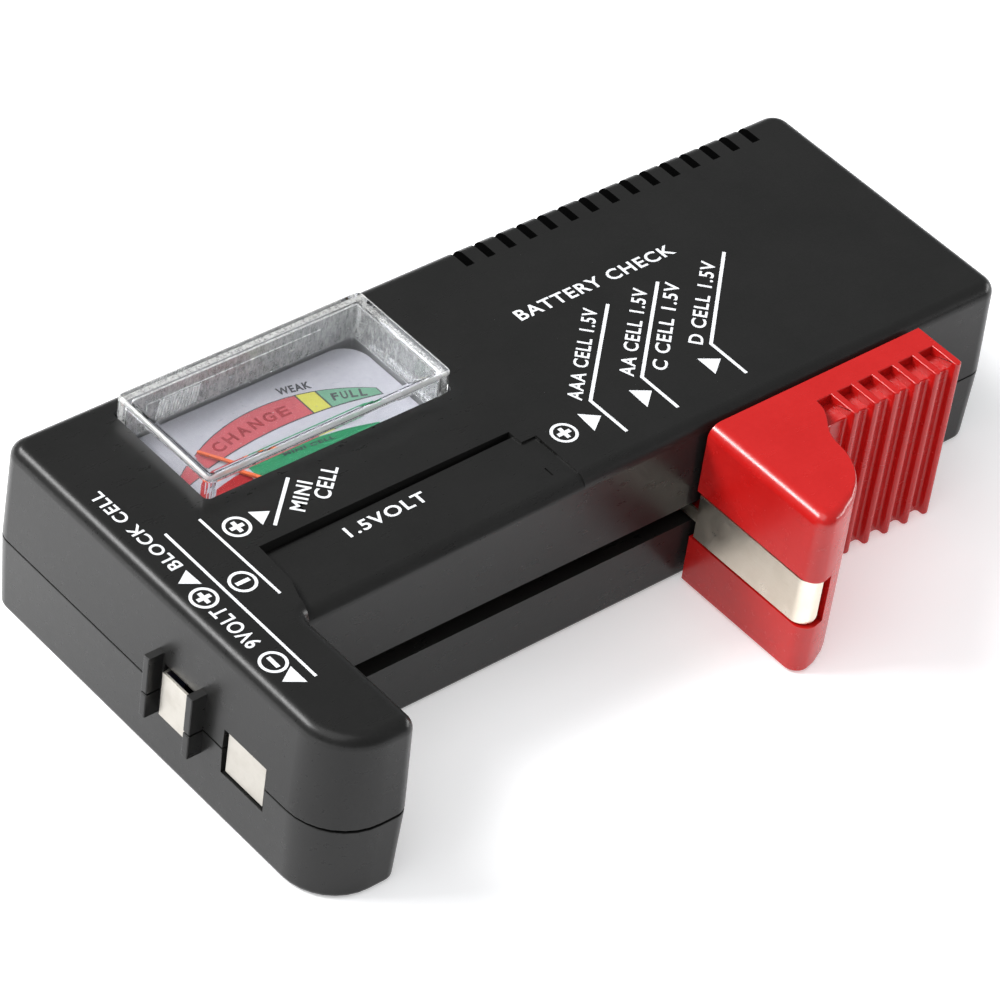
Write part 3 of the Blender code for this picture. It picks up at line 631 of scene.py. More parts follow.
@dataclass(frozen=True)
class Winding(Finish):
    """Layers of fine enamelled wire wound about the upright ends of a frame."""

    name: str
    colour: Colour = (0.62, 0.24, 0.07)
    # The darker colour, painted shade in the valleys between turns.
    shade: Colour = (0.30, 0.09, 0.03)
    pitch_mm: float = 0.12

    def build(self) -> bpy.types.Material:
        """Make the material.

        Returns:
            The material.
        """
        sheet = NodeSheet.material(self.name)
        turns = (sheet.axis(Across.X) + sheet.axis(Across.Y)) * (2 * math.pi / (self.pitch_mm * MM))
        ridge = turns.sine() * 0.5 + 0.5
        tone = ridge * 0.8 + sheet.noise(1.0, 3.0) * 0.2
        # Painted shade: the colour darkens in the valleys between turns.
        colour = sheet.blend(tone, self.shade, self.colour)
        rough = tone.spread(0.0, 1.0, 0.45, 0.25)
        return sheet.done(sheet.surface(Base_Color=colour, Roughness=rough, Metallic=0.8,
                                        Normal=sheet.relief(ridge, 0.03, 0.8)))


# Its vent row puts painted shade on the walls of the slots.
BLACK = MouldedPlastic("black_abs_grain", (0.0112, 0.0112, 0.0108), (0.0140, 0.0138, 0.0134),
                       roughness=0.30, rough_spread=0.03, grain_mm=0.28, grain_depth=0.008, wave_depth=0.012,
                       gloss=0.24, vents=VENTS)
GREY = MouldedPlastic("grey_styrene_grain", (0.20, 0.20, 0.205), (0.25, 0.25, 0.25), roughness=0.5)
RED = MouldedPlastic("red_abs_gloss", (0.46, 0.007, 0.006), (0.50, 0.010, 0.009), roughness=0.25,
                     rough_spread=0.04, grain_mm=0.5, grain_depth=0.0012, wave_mm=6.0, wave_depth=0.01,
                     gloss=0.55)
BLUE = MouldedPlastic("blue_trimmer_plastic", (0.05, 0.16, 0.42), (0.07, 0.20, 0.48), roughness=0.35)
CLEAR = ClearPlastic("clear_styrene_polished")
NICKEL = BrushedMetal("nickel_strip_rolled", (0.86, 0.79, 0.67), (0.79, 0.72, 0.60), roughness=0.30)
# Painted shade: a darker copy of the nickel for the 9 V pads, which the key lamp lights strongly.
SHADED_PAD_NICKEL = BrushedMetal("nickel_pad_handled", (0.52, 0.495, 0.45), (0.47, 0.445, 0.40), roughness=0.32)
STEEL = BrushedMetal("zinc_steel_turned", (0.60, 0.61, 0.63), (0.45, 0.45, 0.46), stretch=(1.0, 1.0, 0.2))
MAGNET = BrushedMetal("magnet_ground", (0.16, 0.16, 0.17), (0.10, 0.10, 0.10), roughness=0.4,
                      stretch=(1.0, 1.0, 0.1))
BRASS = BrushedMetal("brass_turned", (0.72, 0.52, 0.22), (0.50, 0.34, 0.14), stretch=(1.0, 1.0, 0.15))
BRONZE = BrushedMetal("bronze_spring", (0.65, 0.38, 0.16), (0.45, 0.24, 0.10))
COPPER = Winding("copper_winding")
ORANGE = PrintedInk("orange_needle_paint", (0.60, 0.12, 0.035), (0.52, 0.10, 0.03), roughness=0.4)
WHITE_INK = PrintedInk("white_marking_ink", (0.83, 0.84, 0.86), (0.70, 0.72, 0.74))
CARD = Speckled("lacquered_card", (0.350, 0.345, 0.370), (0.310, 0.305, 0.330), grain_mm=0.8, share=0.6,
                roughness=0.4)
RED_INK = PrintedInk("dial_red_ink", (0.38, 0.065, 0.075), (0.33, 0.06, 0.07))
YELLOW_INK = PrintedInk("dial_yellow_ink", (0.42, 0.40, 0.06), (0.38, 0.36, 0.06))
GREEN_INK = PrintedInk("dial_green_ink", (0.10, 0.24, 0.15), (0.12, 0.26, 0.18))
DEEP_RED_INK = PrintedInk("dial_deep_red_ink", (0.30, 0.008, 0.010), (0.24, 0.008, 0.010))
DEEP_GREEN_INK = PrintedInk("dial_deep_green_ink", (0.012, 0.17, 0.07), (0.012, 0.14, 0.06))
DARK_INK = PrintedInk("dial_dark_ink", (0.035, 0.035, 0.04), (0.06, 0.06, 0.065))
MAROON_INK = PrintedInk("dial_maroon_ink", (0.20, 0.01, 0.015), (0.25, 0.015, 0.02))
LAMINATE = Speckled("phenolic_laminate", (0.36, 0.23, 0.09), (0.22, 0.13, 0.05), grain_mm=0.6,
                    stretch=(0.2, 1.0, 1.0))
INSULATION = {
    name: Speckled(f"{name}_insulation_pvc", colour, shade, share=0.4, roughness=0.35)
    for name, colour, shade in (
        ("red", (0.50, 0.02, 0.02), (0.38, 0.02, 0.02)),
        ("blue", (0.03, 0.08, 0.40), (0.02, 0.05, 0.28)),
        ("black", (0.02, 0.02, 0.02), (0.05, 0.05, 0.05)),
        ("yellow", (0.70, 0.50, 0.05), (0.55, 0.38, 0.04)))
}
FLOOR = PaleSheet("pale_floor")


# ---------------------------------------------------------------- modelling

def round_corners(corners: Sequence[tuple[float, float, float]], inset: float = 0.0,
                  steps: int = 8) -> Outline:
    """Points round a polygon with rounded corners.

    Args:
        corners: (x, y, radius), anticlockwise.
        inset: Distance that the outline moves inwards.
        steps: Steps in each corner; every inset gives the same number of points.

    Returns:
        The points of the outline.
    """
    points = []
    for index, (x, y, radius) in enumerate(corners):
        before = Vector(corners[index - 1][:2])
        after = Vector(corners[(index + 1) % len(corners)][:2])
        here = Vector((x, y))
        way_in = (here - before).normalized()
        way_out = (after - here).normalized()
        side_in = Vector((-way_in.y, way_in.x))
        side_out = Vector((-way_out.y, way_out.x))
        here = here + (side_in + side_out) * (inset / (1 + side_in.dot(side_out)))
        turn = math.atan2(way_in.x * way_out.y - way_in.y * way_out.x, way_in.dot(way_out))
        bend = max(radius - inset, 0.2) if turn > 0 else radius + inset
        start = here - way_in * (bend * math.tan(abs(turn) / 2))
        centre = start + (side_in if turn > 0 else -side_in) * bend
        arm = start - centre
        for step in range(steps + 1):
            angle = turn * step / steps
            points.append((centre.x + arm.x * math.cos(angle) - arm.y * math.sin(angle),
                           centre.y + arm.x * math.sin(angle) + arm.y * math.cos(angle)))
    return points


def rounded_box(left: float, right: float, near: float, rear: float, radius: float) -> Outline:
    """Outline of an upright rounded rectangle, anticlockwise."""
    corners = [(left, near, radius), (right, near, radius), (right, rear, radius), (left, rear, radius)]
    return round_corners(corners, steps=5)


def arc(x: float, y: float, radius: float, first: float, last: float, steps: int) -> Outline:
    """Points along an arc; first and last are degrees."""
    angles = [math.radians(first + (last - first) * step / steps) for step in range(steps + 1)]
    return [(x + radius * math.cos(a), y + radius * math.sin(a)) for a in angles]


def band(points: Plan, width: float) -> Outline:
    """Outline of a line of constant width along points, mitred at its bends.

    Args:
        points: Middle of the line.
        width: Width of the line.

    Returns:
        The points of the outline.
    """
    left, right = [], []
    for index, place in enumerate(points):
        here = Vector(place)
        ways = []
        if index:
            ways.append((here - Vector(points[index - 1])).normalized())
        if index + 1 < len(points):
            ways.append((Vector(points[index + 1]) - here).normalized())
        side = sum((Vector((-way.y, way.x)) for way in ways), Vector((0.0, 0.0)))
        side = side * (width / 2 * (1.0 if len(ways) == 1 else 2 / side.length_squared))
        left.append(tuple(here + side))
        right.append(tuple(here - side))
    return right + left[::-1]


def level_edge(height: float) -> Callable[..., bool]:
    """Test for edges that lie at a height."""
    return lambda edge: all(abs(v.co.z - height) < SAME_LEVEL for v in edge.verts)


class Workpiece:
    """A mesh on the bench, in housing millimetres, shaped by operators."""

    def __init__(self, made: bpy.types.Object) -> None:
        """Take up a mesh object.

        Args:
            made: The object, whose place is already in its mesh.
        """
        self.made = made

    # ---- starts

    @classmethod
    def _adopt(cls, name: str) -> "Workpiece":
        """Name the primitive that was just added and put its place into its mesh.

        Args:
            name: Name of the piece.

        Returns:
            The piece.
        """
        piece = cls(bpy.context.active_object)
        piece.rename(name)
        piece.settle()
        return piece

    @classmethod
    def block(cls, name: str, low: Sequence[float], high: Sequence[float]) -> "Workpiece":
        """An upright block between two corners.

        Args:
            name: Name of the piece.
            low: Its left, near, lower corner.
            high: The opposite corner.

        Returns:
            The block.
        """
        bpy.ops.mesh.primitive_cube_add(size=1, location=(Vector(low) + Vector(high)) / 2,
                                        scale=Vector(high) - Vector(low))
        return cls._adopt(name)

    @classmethod
    def rod(cls, name: str, centre: tuple[float, float], low: float, high: float, radius: float,
            sides: int = 32, top_radius: float | None = None) -> "Workpiece":
        """An upright round bar or cone frustum.

        Args:
            name: Name of the piece.
            centre: Plan point of its axis.
            low: Height of its foot.
            high: Height of its top.
            radius: Radius of its foot.
            sides: Number of sides.
            top_radius: Radius of its top, where that is another one.

        Returns:
            The rod.
        """
        bpy.ops.mesh.primitive_cone_add(vertices=sides, radius1=radius, depth=high - low,
                                        radius2=radius if top_radius is None else top_radius,
                                        location=(*centre, (low + high) / 2))
        return cls._adopt(name)

    @classmethod
    def drawn(cls, name: str, outline: Plan, low: float, high: float, across: Across = Across.Z,
              ) -> "Workpiece":
        """A solid whose outline is drawn point by point, filled and extruded.

        Args:
            name: Name of the piece.
            outline: Points in the plane square to across: (x, y), (y, z) or (x, z).
            low: Where the drawn face lies along across.
            high: Where the extruded face lies.
            across: Axis of the extrusion.

        Returns:
            The solid.
        """
        def set_out(point: tuple[float, float]) -> Vector:
            """Where a drawn point lies on the bench.

            Args:
                point: A point of the outline.

            Returns:
                The same point in three dimensions.
            """
            place = list(point)
            place.insert(across.value, low)
            return Vector(place)

        places = [set_out(point) for point in outline]
        bpy.ops.mesh.primitive_plane_add(size=1, location=places[0])
        piece = cls._adopt(name)
        rise = Vector((0.0, 0.0, 0.0))
        rise[across.value] = high - low
        with piece.editing():
            bpy.ops.mesh.select_all(action="SELECT")
            bpy.ops.mesh.merge(type="CENTER")
            for before, here in zip(places, places[1:]):
                bpy.ops.mesh.extrude_vertices_move(TRANSFORM_OT_translate={"value": here - before})
            bpy.ops.mesh.select_all(action="SELECT")
            bpy.ops.mesh.edge_face_add()
            bpy.ops.mesh.extrude_region_move(TRANSFORM_OT_translate={"value": rise})
        piece.face_outwards()
        return piece

    @classmethod
    def bridged(cls, name: str, lower: Plan, low: float, upper: Plan, high: float) -> "Workpiece":
        """A solid between two level outlines with the same number of points.

        Args:
            name: Name of the piece.
            lower: Outline of the foot.
            low: Height of the foot.
            upper: Outline of the top.
            high: Height of the top.

        Returns:
            The solid.
        """
        piece = cls.drawn(name, lower, low, low + 1.0)
        top = cls.drawn(f"{name}_top", upper, high, high + 1.0)
        piece.absorb(top)
        with piece.editing():
            piece.pick(Pick.CORNERS,
                       lambda v: min(abs(v.co.z - low - 1.0), abs(v.co.z - high - 1.0)) < SAME_LEVEL)
            bpy.ops.mesh.delete(type="VERT")
            piece.pick(Pick.EDGES, lambda e: True)
            bpy.ops.mesh.delete(type="ONLY_FACE")
            bpy.ops.mesh.select_all(action="SELECT")
            bpy.ops.mesh.bridge_edge_loops()
            for level in (low, high):
                piece.pick(Pick.EDGES, level_edge(level))
                bpy.ops.mesh.edge_face_add()
        piece.face_outwards()
        return piece

    @classmethod
    def copied(cls, name: str, node: str) -> "Workpiece":
        """A merged copy of a CAD node, in housing millimetres.

        Args:
            name: Name of the piece.
            node: The CAD node.

        Returns:
            The copy.
        """
        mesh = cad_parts[node].data.copy()
        mesh.materials.clear()
        made = bpy.data.objects.new(name, mesh)
        bpy.context.scene.collection.objects.link(made)
        piece = cls(made)
        made.scale = (1 / MM,) * 3
        made.location = (-HOUSING_LEFT / MM, -HOUSING_REAR / MM, 0.0)
        piece.settle()
        with piece.editing():
            bpy.ops.mesh.select_all(action="SELECT")
            bpy.ops.mesh.remove_doubles(threshold=0.001)
            bpy.ops.mesh.dissolve_limited(angle_limit=math.radians(0.5))
        return piece

    @classmethod
    def lettered(cls, name: str, words: str, start: Sequence[float], end: Sequence[float],
                 height: float, level: float, weight: float = 0.012, thick: float = 0.03) -> "Workpiece":
        """Raised lettering whose baseline runs from start to end.

        Args:
            name: Name of the piece.
            words: What it says.
            start: Plan point of the baseline's start.
            end: Plan point of the baseline's end.
            height: Height of the capitals.
            level: Height of its underside.
            weight: How much bolder than the plain face, as a share of the type size.
            thick: Thickness of the ink.

        Returns:
            The lettering.
        """
        bpy.ops.object.select_all(action="DESELECT")
        bpy.ops.object.text_add()
        type_line = bpy.context.active_object.data
        type_line.body = words
        type_line.offset = weight
        type_line.space_character = 1.14
        type_line.extrude = 0.5
        type_line.resolution_u = 4
        bpy.ops.object.convert(target="MESH")
        made = bpy.context.active_object
        piece = cls(made)
        piece.rename(name)
        places = [v.co for v in made.data.vertices]
        left, right = min(p.x for p in places), max(p.x for p in places)
        low, high = min(p.y for p in places), max(p.y for p in places)
        run = Vector(end) - Vector(start)
        stretch = (run.length / (right - left), height / (high - low), thick)
        turn = math.atan2(run.y, run.x)
        origin = Matrix.Rotation(turn, 3, "Z") @ Vector((left * stretch[0], low * stretch[1], 0.0))
        made.scale = stretch
        made.rotation_euler = (0.0, 0.0, turn)
        made.location = Vector((*start, level + thick / 2)) - origin
        piece.settle()
        with piece.editing():
            bpy.ops.mesh.select_all(action="SELECT")
            bpy.ops.mesh.remove_doubles(threshold=0.0005)
        return piece

    # ---- holding and choosing

    def hold(self) -> None:
        """Select this piece alone and make it active."""
        bpy.ops.object.select_all(action="DESELECT")
        self.made.select_set(True)
        bpy.context.view_layer.objects.active = self.made

    def settle(self) -> None:
        """Put the piece's place, turn and scale into its mesh."""
        self.hold()
        bpy.ops.object.transform_apply(location=True, rotation=True, scale=True)

    def rename(self, name: str) -> None:
        """Name the object and its mesh."""
        self.made.name = self.made.data.name = name

    @contextmanager
    def editing(self) -> Iterator[None]:
        """Edit mode with nothing selected.

        Returns:
            A context in which this piece is edited.
        """
        self.hold()
        bpy.ops.object.mode_set(mode="EDIT")
        bpy.ops.mesh.select_mode(type="VERT")
        bpy.ops.mesh.select_all(action="DESELECT")
        yield
        bpy.ops.object.mode_set(mode="OBJECT")

    def pick(self, kind: Pick, test: Callable[..., bool]) -> None:
        """Select the corners, edges or faces that pass a test, and nothing else.

        Args:
            kind: What is selected.
            test: Says of an element whether it is wanted.
        """
        bpy.ops.mesh.select_mode(type=kind.value)
        bpy.ops.mesh.select_all(action="DESELECT")
        shape = bmesh.from_edit_mesh(self.made.data)
        elements = {Pick.CORNERS: shape.verts, Pick.EDGES: shape.edges, Pick.FACES: shape.faces}[kind]
        for element in elements:
            if test(element):
                element.select_set(True)
        shape.select_flush_mode()
        bmesh.update_edit_mesh(self.made.data)

    # ---- shaping

    def face_outwards(self) -> None:
        """Recalculate the normals of a closed shape."""
        with self.editing():
            bpy.ops.mesh.select_all(action="SELECT")
            bpy.ops.mesh.normals_make_consistent(inside=False)

    def bevel(self, test: Callable[..., bool], width: float, segments: int = 4) -> "Workpiece":
        """Round the edges that pass a test.

        Args:
            test: Says of an edge whether it is rounded.
            width: Width of the rounding.
            segments: Steps in the rounding.

        Returns:
            This piece.
        """
        with self.editing():
            self.pick(Pick.EDGES, test)
            bpy.ops.mesh.bevel(offset_type="OFFSET", offset=width, segments=segments, profile=0.5,
                               affect="EDGES", clamp_overlap=False)
        return self

    def round_edges(self, width: Callable[..., float], segments: int) -> "Workpiece":
        """Round edges by widths of their own.

        Args:
            width: Gives each edge its width, 0 for none.
            segments: Steps in each rounding.

        Returns:
            This piece.
        """
        with self.editing():
            shape = bmesh.from_edit_mesh(self.made.data)
            widths = sorted({round(width(edge), 3) for edge in shape.edges} - {0.0})
            for each in widths:
                self.pick(Pick.EDGES, lambda e, each=each: abs(width(e) - each) < 6e-4)
                bpy.ops.transform.edge_bevelweight(value=each / widths[-1])
        return self.apply("BEVEL", width=widths[-1], segments=segments, limit_method="WEIGHT",
                          miter_outer="MITER_ARC", use_clamp_overlap=False)

    def shift(self, test: Callable[..., bool], offset: Sequence[float]) -> "Workpiece":
        """Move the corners that pass a test.

        Args:
            test: Says of a corner whether it moves.
            offset: How far it moves.

        Returns:
            This piece.
        """
        with self.editing():
            self.pick(Pick.CORNERS, test)
            bpy.ops.transform.translate(value=offset)
        return self

    def turn(self, degrees: float, across: Across, centre: Sequence[float]) -> "Workpiece":
        """Turn the whole piece about a point.

        Args:
            degrees: Angle.
            across: Axis of the turn.
            centre: The point.

        Returns:
            This piece.
        """
        spin = Matrix.Rotation(math.radians(degrees), 4, across.name)
        self.made.matrix_world = Matrix.Translation(centre) @ spin @ Matrix.Translation(-Vector(centre))
        self.settle()
        return self

    def apply(self, kind: str, **settings: object) -> "Workpiece":
        """Add a modifier and apply it.

        Args:
            kind: Type of the modifier.
            settings: Its properties.

        Returns:
            This piece.
        """
        change = self.made.modifiers.new(kind.lower(), kind)
        for key, value in settings.items():
            setattr(change, key, value)
        self.hold()
        bpy.ops.object.modifier_apply(modifier=change.name)
        return self

    def soften(self, width: float, segments: int = 2, angle: float = 40.0) -> "Workpiece":
        """Break every sharp edge by a small radius."""
        return self.apply("BEVEL", width=width, segments=segments, limit_method="ANGLE",
                          angle_limit=math.radians(angle), miter_outer="MITER_ARC", harden_normals=False)

    def _combine(self, operation: str, tools: Sequence["Workpiece"]) -> "Workpiece":
        """Boolean this piece with each tool, and throw the tools away.

        Args:
            operation: The Boolean's operation.
            tools: The pieces it is done with.

        Returns:
            This piece.
        """
        for tool in tools:
            self.apply("BOOLEAN", operation=operation, solver="EXACT", object=tool.made)
            tool.discard()
        return self

    def cut(self, *tools: "Workpiece") -> "Workpiece":
        """Take the tools away."""
        return self._combine("DIFFERENCE", tools)

    def join(self, *tools: "Workpiece") -> "Workpiece":
        """Fuse the tools on."""
        return self._combine("UNION", tools)

    def keep(self, *tools: "Workpiece") -> "Workpiece":
        """Keep what lies inside the tools."""
        return self._combine("INTERSECT", tools)

    def absorb(self, *others: "Workpiece") -> "Workpiece":
        """Take other meshes in as they are.

        Args:
            others: The meshes.

        Returns:
            This piece.
        """
        self.hold()
        for other in others:
            other.made.select_set(True)
        bpy.ops.object.join()
        return self

    def again(self, name: str, offset: Sequence[float]) -> "Workpiece":
        """A moved copy with its own mesh.

        Args:
            name: Name of the copy.
            offset: How far it is moved.

        Returns:
            The copy.
        """
        twin = self.made.copy()
        twin.data = self.made.data.copy()
        bpy.context.scene.collection.objects.link(twin)
        twin.location = offset
        copy = Workpiece(twin)
        copy.rename(name)
        copy.settle()
        return copy

    def row(self, name: str, count: int, pitch: float, start: int = 1) -> list["Workpiece"]:
        """The other pieces of a row along X whose first piece is this one.

        Args:
            name: Start of their names.
            count: Pieces in the row, with this one.
            pitch: Distance from one to the next.
            start: Number in the name of the first copy.

        Returns:
            The copies.
        """
        return [self.again(f"{name}_{start + index}", ((index + 1) * pitch, 0, 0))
                for index in range(count - 1)]

    def discard(self) -> None:
        """Remove this piece."""
        bpy.data.objects.remove(self.made, do_unlink=True)

    # ---- delivery

    def deliver(self, finish: Finish, body: Body, slot: str, replaces: Sequence[str] = (),
                smooth: float | None = 35.0) -> bpy.types.Object:
        """Bring the piece to the frame, dress it and hang it on its body.

        Args:
            finish: What it is made of.
            body: The body it rides on.
            slot: The record's material slot; not used.
            replaces: CAD nodes that it stands for.
            smooth: Edges flatter than this angle in degrees are smoothed.

        Returns:
            The finished object.
        """
        self.hold()
        if smooth is not None:
            bpy.ops.object.shade_smooth_by_angle(angle=math.radians(smooth))
            self.apply("WEIGHTED_NORMAL", keep_sharp=True, weight=50)
        self.made.scale = (MM,) * 3
        self.made.location = (HOUSING_LEFT, HOUSING_REAR, 0.0)
        self.settle()
        self.made.data.materials.clear()
        self.made.data.materials.append(finish.material())
        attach(self.made, body.value)
        if replaces:
            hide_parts(*replaces)
        LOG.info("%s: %d faces, rides on %s", self.made.name, len(self.made.data.polygons), body.value)
        return self.made


def dress(node: str, finish: Finish) -> None:
    """Give a CAD node that keeps its shape a finish."""
    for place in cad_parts[node].material_slots:
        place.material = finish.material()


# ---------------------------------------------------------------- housing

@dataclass
class Housing:
    """The two black shells, their screws and everything cut into them."""

    length: float = 110.0
    depth: float = 38.3
    arm_depth: float = 56.8
    arm_width: float = 10.9
    height: float = 22.3
    seam: float = 10.0
    seam_gap: float = 0.16
    seam_rim: float = 0.12
    wall: float = 2.0
    corner: float = 2.6
    tip_left: float = 6.8
    tip_right: float = 2.0
    arm_root: float = 0.8
    top_fillet: float = 1.6
    top_draft: float = 0.35
    bottom_fillet: float = 0.8
    bottom_draft: float = 0.4
    lip_inset: float = 1.0
    lip_height: float = 1.0
    ribs: tuple[tuple[float, float], ...] = ((-29.2, -28.3), (-36.4, -35.4))
    rib_low: float = 6.8
    rib_high: float = 15.0
    slot: tuple[float, float, float, float] = (12.9, 95.5, 8.5, 11.1)
    vents: VentRow = VENTS
    tray_floor: tuple[float, float] = (21.3, 22.05)
    tray_ends: tuple[float, float] = (12.6, 47.9)
    tray_rear: float = -28.4
    meter_window: tuple[float, float, float, float] = (12.4, 45.4, -19.3, -2.9)
    plus_window: tuple[Place, Place] = ((-3, -35.1, 7.2), (3, -29.5, 13.7))
    minus_window: tuple[Place, Place] = ((-3, -46.5, 6.7), (3, -39.6, 12.7))
    arm_holes: tuple[tuple[float, float], ...] = ((-40.9, -39.5), (-54.9, -53.7))
    posts: tuple[tuple[float, float], ...] = ((5.6, -6.0), (104.2, -6.2), (104.2, -30.6), (5.5, -52.0))
    board_posts: tuple[tuple[float, float], ...] = ((53.0, -26.0), (95.0, -11.0))
    post_radius: float = 2.4
    pilot_radius: float = 1.15
    boss_radius: float = 3.0
    counterbore_radii: tuple[float, float] = (2.35, 2.25)
    clearance_radius: float = 1.25
    standoff_radius: float = 2.2
    standoff_hole_radius: float = 1.0
    screw_head_radius: float = 1.98
    screw_shank_radius: float = 0.85
    inner_blocks: tuple[tuple[str, Place, Place], ...] = (
        ("rail_post_left", (47.2, -32.85, 1.0), (49.2, -31.0, 12.5)),
        ("rail_post_right", (76.5, -32.85, 1.0), (78.5, -31.0, 12.5)),
        ("tub_rest_near", (20, -30, 1.0), (38, -29, 4.3)),
        ("tub_rest_rear", (20, -7, 1.0), (38, -6, 4.3)))

    def plan(self, inset: float) -> Outline:
        """Outline of the housing, moved inwards.

        Args:
            inset: Distance inwards.

        Returns:
            The points of the outline.
        """
        corners = [(0.0, 0.0, self.corner), (0.0, -self.arm_depth, self.tip_left),
                   (self.arm_width, -self.arm_depth, self.tip_right),
                   (self.arm_width, -self.depth, self.arm_root),
                   (self.length, -self.depth, self.corner), (self.length, 0.0, self.corner)]
        return round_corners(corners, inset, 8)

    def openings(self, tag: str) -> list[Workpiece]:
        """Cutters that both shells share: the slot, the 9 V windows and the arm contact's holes.

        Args:
            tag: Shell that they are for, used in their names.

        Returns:
            The cutters.
        """
        left, right, low, high = self.slot
        slot = Workpiece.block(f"slot_{tag}", (left, -self.depth - 1, low), (right, -self.depth + 3, high))
        plus = Workpiece.block(f"plus_window_{tag}", *self.plus_window)
        minus = Workpiece.block(f"minus_window_{tag}", *self.minus_window)
        holes = [Workpiece.block(f"arm_hole_{tag}_{index}", (8, near, 6.6), (12, rear, 13.2))
                 for index, (near, rear) in enumerate(self.arm_holes)]
        return [slot, plus, minus, *holes]

    def rib_pair(self, tag: str, low: float, high: float) -> list[Workpiece]:
        """The upright polarity ribs on the left end, with softened edges.

        Args:
            tag: Shell that they are for, used in their names.
            low: Height of their feet.
            high: Height of their tops.

        Returns:
            The ribs.
        """
        pair = [Workpiece.block(f"{tag}_rib_{index}", (-RIB_REACH, near, low), (0.6, rear, high))
                for index, (near, rear) in enumerate(self.ribs)]
        return [rib.bevel(lambda e: all(v.co.x < -1 for v in e.verts), 0.14, 3) for rib in pair]

    def tray_height(self, x: float) -> float:
        """Height of the tray's floor.

        Args:
            x: Place along the housing.

        Returns:
            The height.
        """
        low, high = self.tray_floor
        start, end = self.tray_ends
        return low + (high - low) * (x - start) / (end - start)

    def tray_cutter(self) -> Workpiece:
        """The sloped tray, with a rounded crest towards the cell bay and a notched right end.

        Returns:
            The cutter.
        """
        start, end = self.tray_ends
        wall = -self.depth + 0.27
        low = self.tray_height(11.0)
        crest = arc(wall + self.top_fillet, low - self.top_fillet, self.top_fillet, 90, 180, 8)
        section = [(-27.0, 24.0), (-27.0, low), *crest, (-41.0, low - self.top_fillet), (-41.0, 24.0)]
        cutter = Workpiece.drawn("tray_section", section, 11.0, 49.0, Across.X)
        rise = self.tray_height(49.0) - low
        cutter.shift(lambda v: v.co.x > 48 and v.co.z < 23.5, (0, 0, rise))
        plan = [(start, self.tray_rear), (12.3, -33.5), (11.4, -36.0), (11.1, -38.2), (11.1, -41.0),
                (48.2, -41.0), (48.1, -33.2), (end, -29.8), (46.1, -29.8), (46.0, self.tray_rear)]
        return cutter.keep(Workpiece.drawn("tray_plan", plan, 15.0, 23.4))

    def vent_cutters(self) -> list[Workpiece]:
        """Slots over the rear top edge: one is modelled and the rest are copies.

        Returns:
            The cutters, as one piece.
        """
        row = self.vents
        half = row.width / 2
        first = Workpiece.block("vent_0", (row.first - half, row.front, row.low),
                                (row.first + half, 2.0, 24.0))
        first.bevel(lambda e: all(v.co.y < -3 for v in e.verts)
                    and abs(e.verts[0].co.x - e.verts[1].co.x) < 0.01
                    and abs(e.verts[0].co.z - e.verts[1].co.z) > 1, half * 0.9, 4)
        return [first.absorb(*first.row("vent", row.count, row.pitch))]

    def upper(self) -> None:
        """The upper shell."""
        rise = self.seam + self.seam_gap / 2
        shell = Workpiece.bridged("upper_shell", self.plan(0.0), rise, self.plan(self.top_draft), self.height)
        shell.bevel(level_edge(self.height), self.top_fillet, 8)
        shell.bevel(level_edge(rise), self.seam_rim, 2)
        cavity = Workpiece.drawn("upper_cavity", self.plan(self.wall), rise - 1, self.height - self.wall)
        rebate = Workpiece.drawn("upper_rebate", self.plan(self.lip_inset - 0.3), rise - 1,
                                 rise + self.lip_height + 0.3)
        shell.cut(cavity, rebate)
        shell.join(*self.rib_pair("upper", rise + 0.05, self.rib_high))
        for index, centre in enumerate(self.posts):
            shell.join(Workpiece.rod(f"upper_post_{index}", centre, 9.6, self.height - 1, self.post_radius))
            shell.cut(Workpiece.rod(f"pilot_{index}", centre, 9.0, 17.0, self.pilot_radius))
        window = Workpiece.drawn("meter_window", rounded_box(*self.meter_window, 0.7),
                                 self.height - self.wall - 1, self.height + 1)
        near = self.tray_rear
        slit = Workpiece.block("tray_slit", (self.tray_ends[0], near - 0.02, 20.8), (46.0, near + 0.62, 24))
        mark = Workpiece.block("tray_mark", (45.62, -35.4, 21.7), (45.82, -34.1, 24))
        end_line = Workpiece.block("tray_end_line", (47.95, -33.2, 21.9), (48.1, -29.8, 24))
        shell.cut(window, self.tray_cutter(), slit, mark, end_line, *self.vent_cutters())
        shell.cut(*self.openings("upper"))
        shell.deliver(BLACK, Body.HOUSING, "black_abs", ["top_shell"])

